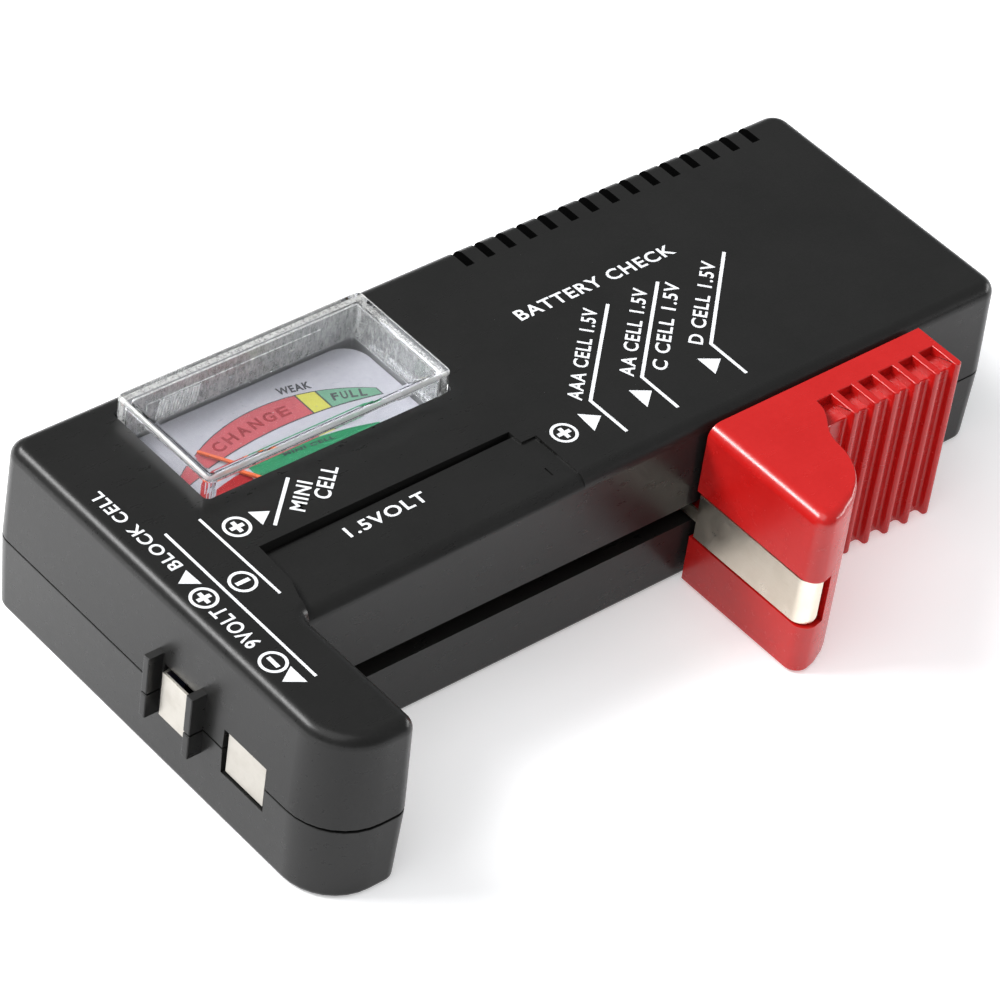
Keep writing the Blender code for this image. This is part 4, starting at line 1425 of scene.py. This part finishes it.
    def lower(self) -> None:
        """The lower shell, with its alignment lip, screw bosses and standoffs."""
        rim = self.seam - self.seam_gap / 2
        shell = Workpiece.bridged("lower_shell", self.plan(self.bottom_draft), 0.0, self.plan(0.0), rim)
        shell.bevel(level_edge(0.0), self.bottom_fillet, 5)
        shell.shift(lambda v: v.co.z > rim - SAME_LEVEL and v.co.y < -53.0, (0, 0, -self.seam_gap))
        shell.bevel(lambda e: all(v.co.z > rim - 0.2 for v in e.verts), self.seam_rim, 2)
        shell.join(Workpiece.drawn("lower_lip", self.plan(self.lip_inset), 5.0, rim + self.lip_height))
        shell.cut(Workpiece.drawn("lower_cavity", self.plan(self.wall), self.wall, 15.0))
        shell.join(*self.rib_pair("lower", self.rib_low, rim - 0.05))
        for index, centre in enumerate(self.posts):
            shell.join(Workpiece.rod(f"boss_{index}", centre, 1.0, 9.2, self.boss_radius))
            foot, head = self.counterbore_radii
            shell.cut(Workpiece.rod(f"counterbore_{index}", centre, -1.0, 5.0, foot, 40, head),
                      Workpiece.rod(f"clearance_{index}", centre, 4.0, 10.0, self.clearance_radius))
        for index, centre in enumerate(self.board_posts):
            shell.join(Workpiece.rod(f"standoff_{index}", centre, 1.0, 4.7, self.standoff_radius))
            shell.cut(Workpiece.rod(f"standoff_hole_{index}", centre, 2.6, 6.0, self.standoff_hole_radius))
        shell.join(*[Workpiece.block(*block) for block in self.inner_blocks])
        shell.cut(*self.openings("lower"))
        shell.deliver(BLACK, Body.HOUSING, "black_abs", ["bottom_shell"])

    def screws(self) -> None:
        """Four pan-head screws with a cross recess, seen in their counterbores."""
        x, y = self.posts[0]
        shank = self.screw_shank_radius
        screw = Workpiece.rod("case_screw_1", (x, y), 3.4, 4.8, self.screw_head_radius, 40)
        screw.bevel(level_edge(3.4), 0.75, 6)
        screw.join(Workpiece.rod("screw_shank", (x, y), 4.5, 14.6, shank, 24),
                   Workpiece.rod("screw_point", (x, y), 14.55, 16.0, shank, 24, 0.2))
        for name, (wide, long) in (("a", (0.2, 1.05)), ("b", (1.05, 0.2))):
            recess = Workpiece.block(f"recess_{name}", (x - wide, y - long, 3.0), (x + wide, y + long, 4.3))
            recess.shift(lambda v: v.co.z > 4, (0, 0, -0.05))
            screw.cut(recess)
        screw.cut(Workpiece.rod("recess_core", (x, y), 3.0, 4.35, 0.5, 24, 0.15))
        twins = [screw.again(f"case_screw_{index + 2}", (px - x, py - y, 0))
                 for index, (px, py) in enumerate(self.posts[1:])]
        for index, twin in enumerate([screw, *twins]):
            twin.deliver(STEEL, Body.HOUSING, "steel", [f"housing_screw_{index + 1}"])

    def build(self) -> None:
        """Build the housing."""
        self.upper()
        self.lower()
        self.screws()


# ---------------------------------------------------------------- jaw

@dataclass
class Jaw:
    """The red sliding jaw and its nickel strip."""

    front: float = 64.9
    back: float = 96.0
    rear: float = -38.7
    nose: float = -57.0
    tip: float = -45.7
    web: float = -44.6
    pocket: float = -41.8
    pocket_floor: float = 21.05
    low: float = 0.3
    high: float = 22.3
    front_rim: float = 1.6
    rim_fade: float = 0.2
    grip_rim: float = 0.16
    rib_width: float = 0.95
    rib_pitch: float = 3.05
    ribs: int = 6
    tip_bend: float = 0.42
    root_bend: float = 0.34
    strip_low: float = 6.9
    strip_high: float = 12.9
    strip_thick: float = 0.35

    def rib_right(self, index: int) -> float:
        """Right side of one rib."""
        return self.back - self.rib_pitch * (self.ribs - 1 - index)

    def grip(self) -> Outline:
        """Outline of the ribs from the first groove to the right end, with rounded tips and roots.

        Returns:
            The points of the outline.
        """
        points = []
        for index in range(self.ribs):
            right = self.rib_right(index)
            left = right - self.rib_width
            bend, tip = self.root_bend, self.tip_bend
            points += arc(left - bend, self.web - bend, bend, 90, 0, 3)
            points += arc(left + tip, self.tip + tip, tip, 180, 270, 5)
            points += arc(right - tip, self.tip + tip, tip, 270, 360, 5)
            if index < self.ribs - 1:
                points += arc(right + bend, self.web - bend, bend, 180, 90, 3)
        return points

    def plan(self) -> Outline:
        """Outline of the jaw: front, rounded nose, hollow throat and grip.

        Returns:
            The points of the outline.
        """
        nose = arc(self.front + 1.7, self.nose + 1.7, 1.7, 180, 275, 10)
        back = [(68.0, -56.72), (68.9, -56.3), (70.1, -55.75), (71.2, -55.0), (72.2, -54.15), (73.1, -53.1),
                (73.9, -51.9), (74.5, -50.6), (74.8, -49.5), (74.9, -48.4), (75.0, -47.7), (75.2, -47.0)]
        throat = [(75.55, -46.2), (76.0, -45.5), (76.5, -45.0), (77.1, -44.7), (77.7, self.web)]
        return [(self.front, self.rear), *nose, *back, *throat, *self.grip(), (self.back, self.rear)]

    def pockets(self) -> list[Workpiece]:
        """Cutters for the hollow at the head of each groove.

        Returns:
            The cutters.
        """
        left = self.rib_right(0)
        gap = self.rib_pitch - self.rib_width
        one = Workpiece.block("grip_pocket_1", (left, self.web - 3.0, self.pocket_floor),
                              (left + gap, self.pocket, self.high + 1))
        others = one.row("grip_pocket", self.ribs - 1, self.rib_pitch, 2)
        first = left - self.rib_width
        throat = [(first, self.pocket), (77.75, self.pocket), (77.7, -42.4), (77.5, -43.2), (77.1, -43.95),
                  (76.65, -44.65), (76.1, -45.35), (75.6, -46.1), (75.25, -47.6), (first, -47.6)]
        return [Workpiece.drawn("grip_pocket_0", throat, self.pocket_floor, self.high + 1), one, *others]

    def rim_width(self, edge: bmesh.types.BMEdge) -> float:
        """How far an edge of the moulding is rounded: most along the front, least round the grip.

        Args:
            edge: The edge.

        Returns:
            Width of its rounding, 0 for none.
        """
        middle = (edge.verts[0].co + edge.verts[1].co) / 2
        if level_edge(self.low)(edge):
            return 0.3
        if level_edge(self.pocket_floor)(edge):
            return 0.18 if middle.y < self.web + 0.01 else 0.0
        if not level_edge(self.high)(edge) or middle.y > self.rear - 0.01:
            return 0.0
        if middle.x < 66.0:
            return self.front_rim
        if middle.y < -49.0:
            return max(0.2, self.front_rim - (middle.x - 66.0) * self.rim_fade)
        return self.grip_rim

    def body(self) -> None:
        """The moulding."""
        jaw = Workpiece.drawn("jaw_moulding", self.plan(), self.low, self.high)
        jaw.cut(*self.pockets())
        groove_low, groove_high = self.strip_low - 0.25, self.strip_high + 0.25
        jaw.cut(Workpiece.block("strip_groove", (self.front - 1, self.nose - 1, groove_low),
                                (self.front + 0.7, self.rear + 1, groove_high)),
                Workpiece.block("nose_groove", (self.front - 1, self.nose - 1, groove_low),
                                (68.0, -55.35, groove_high)))
        jaw.join(Workpiece.block("tongue", (66.6, self.rear - 0.4, 8.9), (85.0, -35.2, 10.7)).soften(0.2),
                 Workpiece.block("flange", (66.2, -36.0, 6.0), (95.0, -35.0, 13.6)).soften(0.2))
        jaw.round_edges(self.rim_width, 8)
        jaw.deliver(RED, Body.SLIDER, "red_abs", ["slider_jaw"], smooth=32.0)

    def strip(self) -> None:
        """The nickel strip along the front face, wrapped round the nose, with its wiper."""
        face = self.front + 0.22
        path = [(face, -39.2), *arc(face + 1.55, -54.8, 1.55, 180, 262, 8), (67.2, -56.4)]
        strip = Workpiece.drawn("jaw_strip", band(path, self.strip_thick), self.strip_low, self.strip_high)
        strip.bevel(lambda e: all(v.co.x > 67.0 for v in e.verts) and level_edge(self.strip_low)(e)
                    and (e.verts[0].co - e.verts[1].co).length < 0.4, 0.8, 3)
        strip.soften(0.06, 2, 50.0)
        wiper = [(face, -39.8), (face, -35.3), (65.6, -34.5), (68.6, -33.95), (70.0, -34.4)]
        strip.join(Workpiece.drawn("wiper", band(wiper, self.strip_thick - 0.05), 9.0, 10.6))
        strip.deliver(NICKEL, Body.SLIDER, "nickel", ["slider_contact"])

    def build(self) -> None:
        """Build the jaw."""
        self.body()
        self.strip()


# ---------------------------------------------------------------- meter

@dataclass(frozen=True)
class Arch:
    """A circle's upper half in plan."""

    centre: tuple[float, float]
    radius: float

    def at(self, x: float) -> float:
        """Y of the arch at x."""
        return self.centre[1] + math.sqrt(max(self.radius ** 2 - (x - self.centre[0]) ** 2, 0.0))


@dataclass
class Meter:
    """The moving-coil meter: clear cover, dial, pointer and the works under them."""

    left: float = 12.6
    right: float = 45.2
    near: float = -19.1
    rear: float = -3.1
    top: float = 24.9
    wall: float = 1.1
    flange: float = 0.9
    flange_low: float = 19.0
    flange_high: float = 19.9
    dial_top: float = 18.1
    dial_thick: float = 0.5
    scale: tuple[Arch, Arch] = (Arch((28.68, -29.36), 21.98), Arch((29.3, -60.0), 49.0))
    button_scale: tuple[Arch, Arch] = (Arch((27.0, -52.7), 39.6), Arch((27.0, -52.7), 36.6))
    zones: tuple[float, float] = (33.3, 35.6)
    letter_share: float = 0.72

    def cover(self) -> None:
        """The clear cover, hollow from below, with a moulded hatch inside its rear wall."""
        skirt = rounded_box(self.left, self.right, self.near, self.rear, 0.8)
        cover = Workpiece.drawn("clear_window", skirt, self.flange_low, self.top)
        cover.bevel(level_edge(self.top), 0.35, 4)
        reach = self.flange
        cover.join(Workpiece.drawn("cover_flange", rounded_box(
            self.left - reach, self.right + reach, self.near - reach, self.rear + 0.65, 0.8),
            self.flange_low, self.flange_high))
        hollow = Workpiece.drawn("cover_hollow", rounded_box(
            self.left + self.wall, self.right - self.wall, self.near + self.wall, self.rear - self.wall, 0.5),
            15.0, self.top - self.wall)
        hollow.bevel(level_edge(self.top - self.wall), 0.3, 3)
        cover.cut(hollow)
        inside = self.rear - self.wall
        cover.join(Workpiece.block("rear_panel", (16.0, inside - 0.14, 19.6), (39.2, inside + 0.05, 22.15)))
        first = Workpiece.block("rear_hatch_0", (17.2, inside - 0.3, 19.7), (17.35, inside - 0.1, 22.0))
        first.shift(lambda v: v.co.z > 21, (0.5, 0, 0))
        cover.join(first.absorb(*first.row("rear_hatch", 14, 0.4)))
        cover.deliver(CLEAR, Body.HOUSING, "clear_styrene", ["meter_cover"], smooth=None)

    def zone_outline(self, upper: "Arch", lower: "Arch", start: float, end: float,
                     grow: float = 0.0) -> Outline:
        """Outline between two arches and two x places.

        Args:
            upper: Arch of the rear edge.
            lower: Arch of the near edge.
            start: Left end.
            end: Right end.
            grow: How much wider it is than the arches.

        Returns:
            The points of the outline.
        """
        steps = 16
        xs = [start + (end - start) * step / steps for step in range(steps + 1)]
        return [(x, lower.at(x) - grow) for x in xs] + [(x, upper.at(x) + grow) for x in reversed(xs)]

    def zone(self, name: str, outline: Plan, ink: Finish, low: float, high: float) -> None:
        """Print one zone between two heights above the dial."""
        piece = Workpiece.drawn(name, outline, self.dial_top + low, self.dial_top + high)
        piece.deliver(ink, Body.HOUSING, "printed_scale", smooth=None)

    def dial(self) -> None:
        """The card with its two printed scales."""
        left, right, rear = self.left + 0.95, self.right - 0.95, self.rear - 0.85
        corners = [(left, -21.0, 0.6), (right, -21.0, 0.6), (right, rear, 3.2), (left, rear, 1.5)]
        card = Workpiece.drawn("dial_card", round_corners(corners), self.dial_top - self.dial_thick,
                               self.dial_top)
        card.soften(0.06, 2)
        card.deliver(CARD, Body.HOUSING, "printed_scale", ["scale_plate"])
        start, end = 15.6, 41.5
        first, second = self.zones
        self.zone("dial_outline", self.zone_outline(*self.scale, start - 0.1, end + 0.15, 0.14),
                  DARK_INK, 0.0, 0.012)
        for name, low, high, ink in (("dial_red_zone", start, first - 0.1, RED_INK),
                                     ("dial_yellow_zone", first + 0.1, second - 0.1, YELLOW_INK),
                                     ("dial_green_zone", second + 0.1, end, GREEN_INK)):
            self.zone(name, self.zone_outline(*self.scale, low, high), ink, 0.004, 0.024)
        for name, low, high, ink in (("button_red_zone", 15.0, 21.8, DEEP_RED_INK),
                                     ("button_green_zone", 22.4, 38.8, DEEP_GREEN_INK)):
            self.zone(name, self.zone_outline(*self.button_scale, low, high), ink, 0.0, 0.02)

    def words(self) -> None:
        """Words on the dial: the letters of CHANGE and FULL are set one by one on the middle of the crescent;
        WEAK and MINI CELL run along straight baselines.
        """
        level = self.dial_top + 0.026
        self.word_on_arc("dial_word_change", "CHANGE", 20.4, 31.6, 1.5, MAROON_INK, level)
        self.word_on_arc("dial_word_full", "FULL", 36.4, 40.4, 1.2, DARK_INK, level)
        for name, word, start, end, height in (
                ("dial_word_weak", "WEAK", (31.9, -6.95), (35.7, -7.85), 1.15),
                ("dial_word_button", "MINI CELL", (26.8, -13.9), (33.2, -14.5), 0.5)):
            line = Workpiece.lettered(name, word, start, end, height, level, 0.03, 0.02)
            line.deliver(DARK_INK, Body.HOUSING, "printed_scale", smooth=None)

    def word_on_arc(self, name: str, word: str, start: float, end: float, height: float, ink: Finish,
                    level: float) -> None:
        """Set a word's letters one by one along the crescent.

        Args:
            name: Name of the piece.
            word: The word.
            start: Left end along X.
            end: Right end along X.
            height: Height of the letters.
            ink: Their ink.
            level: Height of their underside.
        """
        upper, lower = self.scale
        pitch = (end - start) / len(word)
        width = pitch * self.letter_share
        letters = []
        for index, letter in enumerate(word):
            x = start + pitch * (index + (1 - self.letter_share) / 2)
            left, right = [Vector((place, (upper.at(place) + lower.at(place)) / 2))
                           for place in (x, x + width)]
            lean = (right - left).normalized()
            side = Vector((-lean.y, lean.x)) * height / 2
            letters.append(Workpiece.lettered(f"{name}_{index}", letter, left - side, right - side,
                                              height, level, 0.03, 0.02))
        whole = letters[0].absorb(*letters[1:])
        whole.rename(name)
        whole.deliver(ink, Body.HOUSING, "printed_scale", smooth=None)

    def works(self) -> None:
        """The pointer with softened edges; the rest of the movement keeps its shape."""
        pointer = Workpiece.copied("pointer", "needle")
        pointer.soften(0.05, 2, 50.0)
        pointer.deliver(ORANGE, Body.MOVEMENT, "needle_paint", ["needle"])
        tub = Workpiece.copied("movement_tub", "meter_tub")
        tub.soften(0.12, 2, 50.0)
        tub.deliver(GREY, Body.HOUSING, "grey_styrene", ["meter_tub"])
        for nodes, finish in (
                (("core_magnet",), MAGNET),
                (("return_yoke", "movement_frame", "upper_pivot", "lower_pivot"), STEEL),
                (("left_core_spacer", "right_core_spacer", "upper_bridge", "upper_jewel_screw",
                  "lower_jewel_screw", "needle_counterweight"), BRASS),
                (("upper_hairspring", "lower_hairspring"), BRONZE),
                (("moving_coil",), COPPER),
                (("meter_terminal_plus", "meter_terminal_minus"), NICKEL)):
            for node in nodes:
                dress(node, finish)

    def build(self) -> None:
        """Build the meter."""
        self.cover()
        self.dial()
        self.words()
        self.works()


# ---------------------------------------------------------------- contacts and circuit

@dataclass
class Contacts:
    """The fixed nickel contacts, folded from flat strip."""

    thick: float = 0.35
    edge: float = 0.06
    inside: float = 2.45
    proud: float = -0.45
    sunk: float = 0.55
    arm_face: float = 11.32
    arm_inside: float = 8.45

    def fold(self, name: str, path: Plan, low: float, high: float, node: str,
             finish: Finish = NICKEL) -> None:
        """Fold one strip along a path and deliver it.

        Args:
            name: Name of the piece.
            path: Middle of the strip in plan.
            low: Height of its lower edge.
            high: Height of its upper edge.
            node: The CAD node it replaces.
            finish: What it is made of.
        """
        strip = Workpiece.drawn(name, band(path, self.thick), low, high)
        strip.soften(self.edge, 2, 50.0)
        strip.deliver(finish, Body.HOUSING, "nickel", [node])

    def build(self) -> None:
        """Fold the two 9 V pads, the arm's strip and the rail behind the slot."""
        inside, proud, sunk = self.inside, self.proud, self.sunk
        self.fold("nine_volt_plus_pad", [(inside, -28.3), (inside, -29.85), (proud, -30.25), (proud, -34.35),
                                         (inside, -34.75), (inside, -36.2)], 7.5, 13.4,
                  "nine_volt_plus_contact", SHADED_PAD_NICKEL)
        self.fold("nine_volt_minus_pad", [(inside, -38.2), (inside, -39.95), (sunk, -40.15), (sunk, -45.95),
                                          (inside, -46.15), (inside, -47.6)], 7.0, 12.4,
                  "nine_volt_minus_contact", SHADED_PAD_NICKEL)
        face, inside = self.arm_face, self.arm_inside
        self.fold("arm_strip", [(inside, -43.6), (inside, -40.5), (face - 0.5, -40.0), (face, -40.35),
                                (face, -53.95), (face - 0.5, -54.3), (inside + 0.7, -54.1)], 6.9, 12.9,
                  "arm_contact")
        self.fold("rail_strip", [(13.2, -33.38), (79.0, -33.38)], 7.8, 11.8, "collector_rail")


@dataclass
class Circuit:
    """The board under the title, its parts and the wires; all keep their shapes."""

    bands: dict[str, tuple[float, float, tuple[Colour, ...]]] = field(default_factory=lambda: {
        "cell_load_resistor": (74.0, 11.0, ((0.25, 0.10, 0.04), (0.01, 0.01, 0.01), (0.01, 0.01, 0.01),
                                            (0.60, 0.42, 0.10))),
        "battery_load_resistor": (74.0, 9.0, ((0.02, 0.30, 0.06), (0.20, 0.08, 0.03), (0.25, 0.10, 0.04),
                                              (0.60, 0.42, 0.10))),
        "meter_series_resistor": (87.5, 6.3, ((0.60, 0.02, 0.02), (0.70, 0.20, 0.02), (0.60, 0.02, 0.02),
                                              (0.60, 0.42, 0.10))),
    })

    def build(self) -> None:
        """Dress every part of the circuit."""
        dress("circuit_board", LAMINATE)
        dress("calibration_trimmer", BLUE)
        for number in (1, 2):
            dress(f"board_screw_{number}", STEEL)
        for node, (middle, length, rings) in self.bands.items():
            dress(node, ColourBands(f"{node}_lacquer", middle, length, rings))
        for node, colour in (("nine_volt_plus_wire", "red"), ("nine_volt_minus_wire", "blue"),
                             ("arm_contact_wire", "black"), ("rail_wire", "yellow"),
                             ("meter_plus_wire", "red"), ("meter_minus_wire", "black")):
            dress(node, INSULATION[colour])


# ---------------------------------------------------------------- markings

@dataclass
class Markings:
    """Everything printed in white on the top."""

    level: float = 22.3
    ink: float = 0.02
    ring: float = 1.56
    ring_line: float = 0.35
    weight: float = 0.018
    tray_level: float = 21.52
    tray_slope: float = -1.217
    lines: tuple[tuple[str, float, Plan], ...] = (
        ("leader_small", 0.4, ((69.1, -17.2), (56.75, -28.6), (56.8, -34.5))),
        ("leader_middle", 0.4, ((76.4, -17.2), (64.1, -28.6), (64.1, -34.5))),
        ("leader_large", 0.4, ((86.3, -17.2), (74.3, -28.4), (74.3, -34.2))),
        ("leader_button", 0.4, ((21.7, -21.0), (16.0, -26.1))),
        ("divider_inner", 0.32, ((10.01, -21.2), (10.12, -34.5))),
        ("divider_outer", 0.34, ((5.71, -21.1), (5.64, -46.0))))
    heads: tuple[tuple[str, Plan], ...] = (
        ("arrow_aaa", ((54.1, -29.5), (53.9, -32.6), (56.1, -31.1))),
        ("arrow_aa", ((61.4, -29.5), (61.3, -32.7), (63.5, -30.9))),
        ("arrow_d", ((71.3, -29.5), (71.3, -32.5), (73.5, -30.9))),
        ("arrow_button", ((14.9, -23.0), (15.0, -25.4), (16.9, -24.1))),
        ("arrow_block_plus", ((4.2, -26.6), (2.3, -27.8), (4.3, -29.1))),
        ("arrow_block_minus", ((4.4, -43.5), (2.3, -44.8), (4.4, -46.2))))
    words: tuple[tuple[str, str, tuple[float, float], tuple[float, float], float], ...] = (
        ("word_title", "BATTERY CHECK", (59.14, -14.4), (81.64, -14.45), 1.75),
        ("word_aaa", "AAA CELL 1.5V", (55.95, -28.14), (67.5, -17.39), 1.66),
        ("word_aa", "AA CELL 1.5V", (63.36, -28.13), (74.52, -17.7), 1.66),
        ("word_c", "C CELL 1.5V", (67.09, -29.29), (78.27, -18.8), 1.66),
        ("word_d", "D CELL 1.5V", (73.4, -28.09), (84.21, -18.16), 1.66),
        ("word_mini", "MINI", (19.88, -26.16), (23.38, -23.05), 1.64),
        ("word_cell", "CELL", (23.22, -26.09), (27.15, -22.66), 1.8),
        ("word_block", "BLOCK CELL", (4.45, -25.9), (4.05, -12.2), 1.6),
        ("word_nine_volt", "9VOLT", (4.2, -39.3), (4.15, -32.8), 1.9))
    signs: tuple[tuple[str, tuple[float, float], Sign], ...] = (
        ("sign_cell_plus", (50.9, -31.1), Sign.PLUS),
        ("sign_button_plus", (12.56, -24.2), Sign.PLUS),
        ("sign_arm_minus", (7.98, -31.1), Sign.MINUS_ALONG_X),
        ("sign_block_plus", (3.2, -30.9), Sign.PLUS),
        ("sign_block_minus", (3.3, -42.1), Sign.MINUS_ALONG_Y))

    def give(self, piece: Workpiece) -> None:
        """Deliver one marking."""
        piece.deliver(WHITE_INK, Body.HOUSING, "black_abs", smooth=None)

    def sign(self, name: str, centre: tuple[float, float], kind: Sign) -> Workpiece:
        """A ringed plus or minus.

        Args:
            name: Name of the piece.
            centre: Middle of the ring.
            kind: Which sign it is, and which way a minus lies.

        Returns:
            The sign.
        """
        low, high = self.level, self.level + self.ink
        ring = Workpiece.rod(name, centre, low, high, self.ring, 40)
        ring.cut(Workpiece.rod(f"{name}_hole", centre, low - 1, high + 1, self.ring - self.ring_line, 40))
        arm, half = self.ring * 0.54, 0.25
        reaches = {Sign.MINUS_ALONG_X: [(arm, half)], Sign.MINUS_ALONG_Y: [(half, arm)],
                   Sign.PLUS: [(arm, half), (half, arm)]}[kind]
        x, y = centre
        bar, *others = [Workpiece.block(f"{name}_bar_{index}", (x - wide, y - deep, low),
                                        (x + wide, y + deep, high))
                        for index, (wide, deep) in enumerate(reaches)]
        return ring.absorb(bar.join(*others))

    def build(self) -> None:
        """Print everything."""
        top = self.level + self.ink
        for name, width, points in self.lines:
            self.give(Workpiece.drawn(name, band(points, width), self.level, top))
        for name, corners in self.heads:
            self.give(Workpiece.drawn(name, corners, self.level, top))
        for name, words, start, end, height in self.words:
            self.give(Workpiece.lettered(name, words, start, end, height, self.level, self.weight, self.ink))
        for name, centre, kind in self.signs:
            self.give(self.sign(name, centre, kind))
        tray = Workpiece.lettered("word_cell_volts", "1.5VOLT", (22.05, -31.2), (32.5, -31.2), 1.6,
                                  self.tray_level, self.weight, self.ink)
        tray.turn(self.tray_slope, Across.Y, (22.05, -31.2, self.tray_level))
        self.give(tray)


# ---------------------------------------------------------------- studio

@dataclass
class Studio:
    """Pale floor, soft lamps and the camera."""

    aim: tuple[float, float, float] = (-0.00571, 0.00280, 0.0100)
    distance: float = 0.52907
    azimuth: float = -45.666
    elevation: float = 40.835
    roll: float = 8.687
    lens: float = 177.3
    sky: tuple[tuple[float, Colour], ...] = (
        (0.5, (0.34, 0.35, 0.36)), (0.62, (0.28, 0.29, 0.30)), (0.78, (0.27, 0.275, 0.28)),
        (1.0, (0.34, 0.35, 0.36)))

    def lamp(self, name: str, heading: float, height: float, away: float, size: tuple[float, float],
             power: float) -> None:
        """A soft area lamp that looks at the object.

        Args:
            name: Name of the lamp.
            heading: Direction of the lamp, degrees from +X towards +Y.
            height: Degrees above the floor.
            away: Distance in metres.
            size: Width and height in metres.
            power: Watts.
        """
        data = bpy.data.lights.new(name, "AREA")
        data.shape = "RECTANGLE"
        data.size, data.size_y = size
        data.energy = power
        made = bpy.data.objects.new(name, data)
        bpy.context.scene.collection.objects.link(made)
        turn, rise = math.radians(heading), math.radians(height)
        made.location = Vector((math.cos(rise) * math.cos(turn), math.cos(rise) * math.sin(turn),
                                math.sin(rise))) * away
        made.rotation_euler = made.location.to_track_quat("Z", "Y").to_euler()

    def camera(self) -> None:
        """The camera, above the left near side."""
        data = bpy.data.cameras.new("studio_camera")
        data.lens = self.lens
        data.sensor_width = 36.0
        data.clip_start, data.clip_end = 0.01, 20.0
        made = bpy.data.objects.new("studio_camera", data)
        bpy.context.scene.collection.objects.link(made)
        turn = (Matrix.Rotation(math.radians(self.azimuth), 4, "Z")
                @ Matrix.Rotation(math.radians(90 - self.elevation), 4, "X"))
        back = turn @ Vector((0, 0, self.distance))
        made.matrix_world = (Matrix.Translation(Vector(self.aim) + back) @ turn
                             @ Matrix.Rotation(math.radians(self.roll), 4, "Z"))
        bpy.context.scene.camera = made

    def surroundings(self) -> None:
        """A plain pale world, a little darker half way up than at the horizon and overhead."""
        world = bpy.data.worlds.new("studio_world")
        sheet = NodeSheet(world)
        way = sheet.node("ShaderNodeTexCoord", output="Generated")
        height = sheet.node("ShaderNodeSeparateXYZ", inputs={0: way}, output=2)
        tone = sheet.node("ShaderNodeValToRGB", {"stops": self.sky}, {0: height * 0.5 + 0.5})
        sheet.done(sheet.node("ShaderNodeBackground", inputs={"Color": tone, "Strength": 1.0}))
        bpy.context.scene.world = world

    def floor(self) -> None:
        """A large, flat, pale floor."""
        bpy.ops.object.select_all(action="DESELECT")
        bpy.ops.mesh.primitive_plane_add(size=6.0, location=(0, 0, 0))
        made = bpy.context.active_object
        made.name = made.data.name = "studio_floor"
        made.data.materials.append(FLOOR.material())

    def build(self) -> None:
        """Set up the studio."""
        self.camera()
        self.surroundings()
        self.floor()
        self.lamp("key_lamp", 130, 44, 1.5, (1.0, 0.30), 28.0)
        self.lamp("left_lamp", 190, 60, 1.5, (1.2, 1.2), 9.0)
        self.lamp("near_lamp", -20, 13, 1.8, (1.2, 0.4), 15.0)
        view = bpy.context.scene.view_settings
        view.view_transform = "Standard"
        view.look = "None"


def main() -> None:
    """Build every sub-assembly in order, then the studio."""
    logging.basicConfig(level=logging.INFO, format="%(message)s")
    for part in (Housing(), Jaw(), Meter(), Contacts(), Circuit(), Markings(), Studio()):
        LOG.info("building %s", type(part).__name__)
        part.build()


if __name__ == "__main__":
    main()
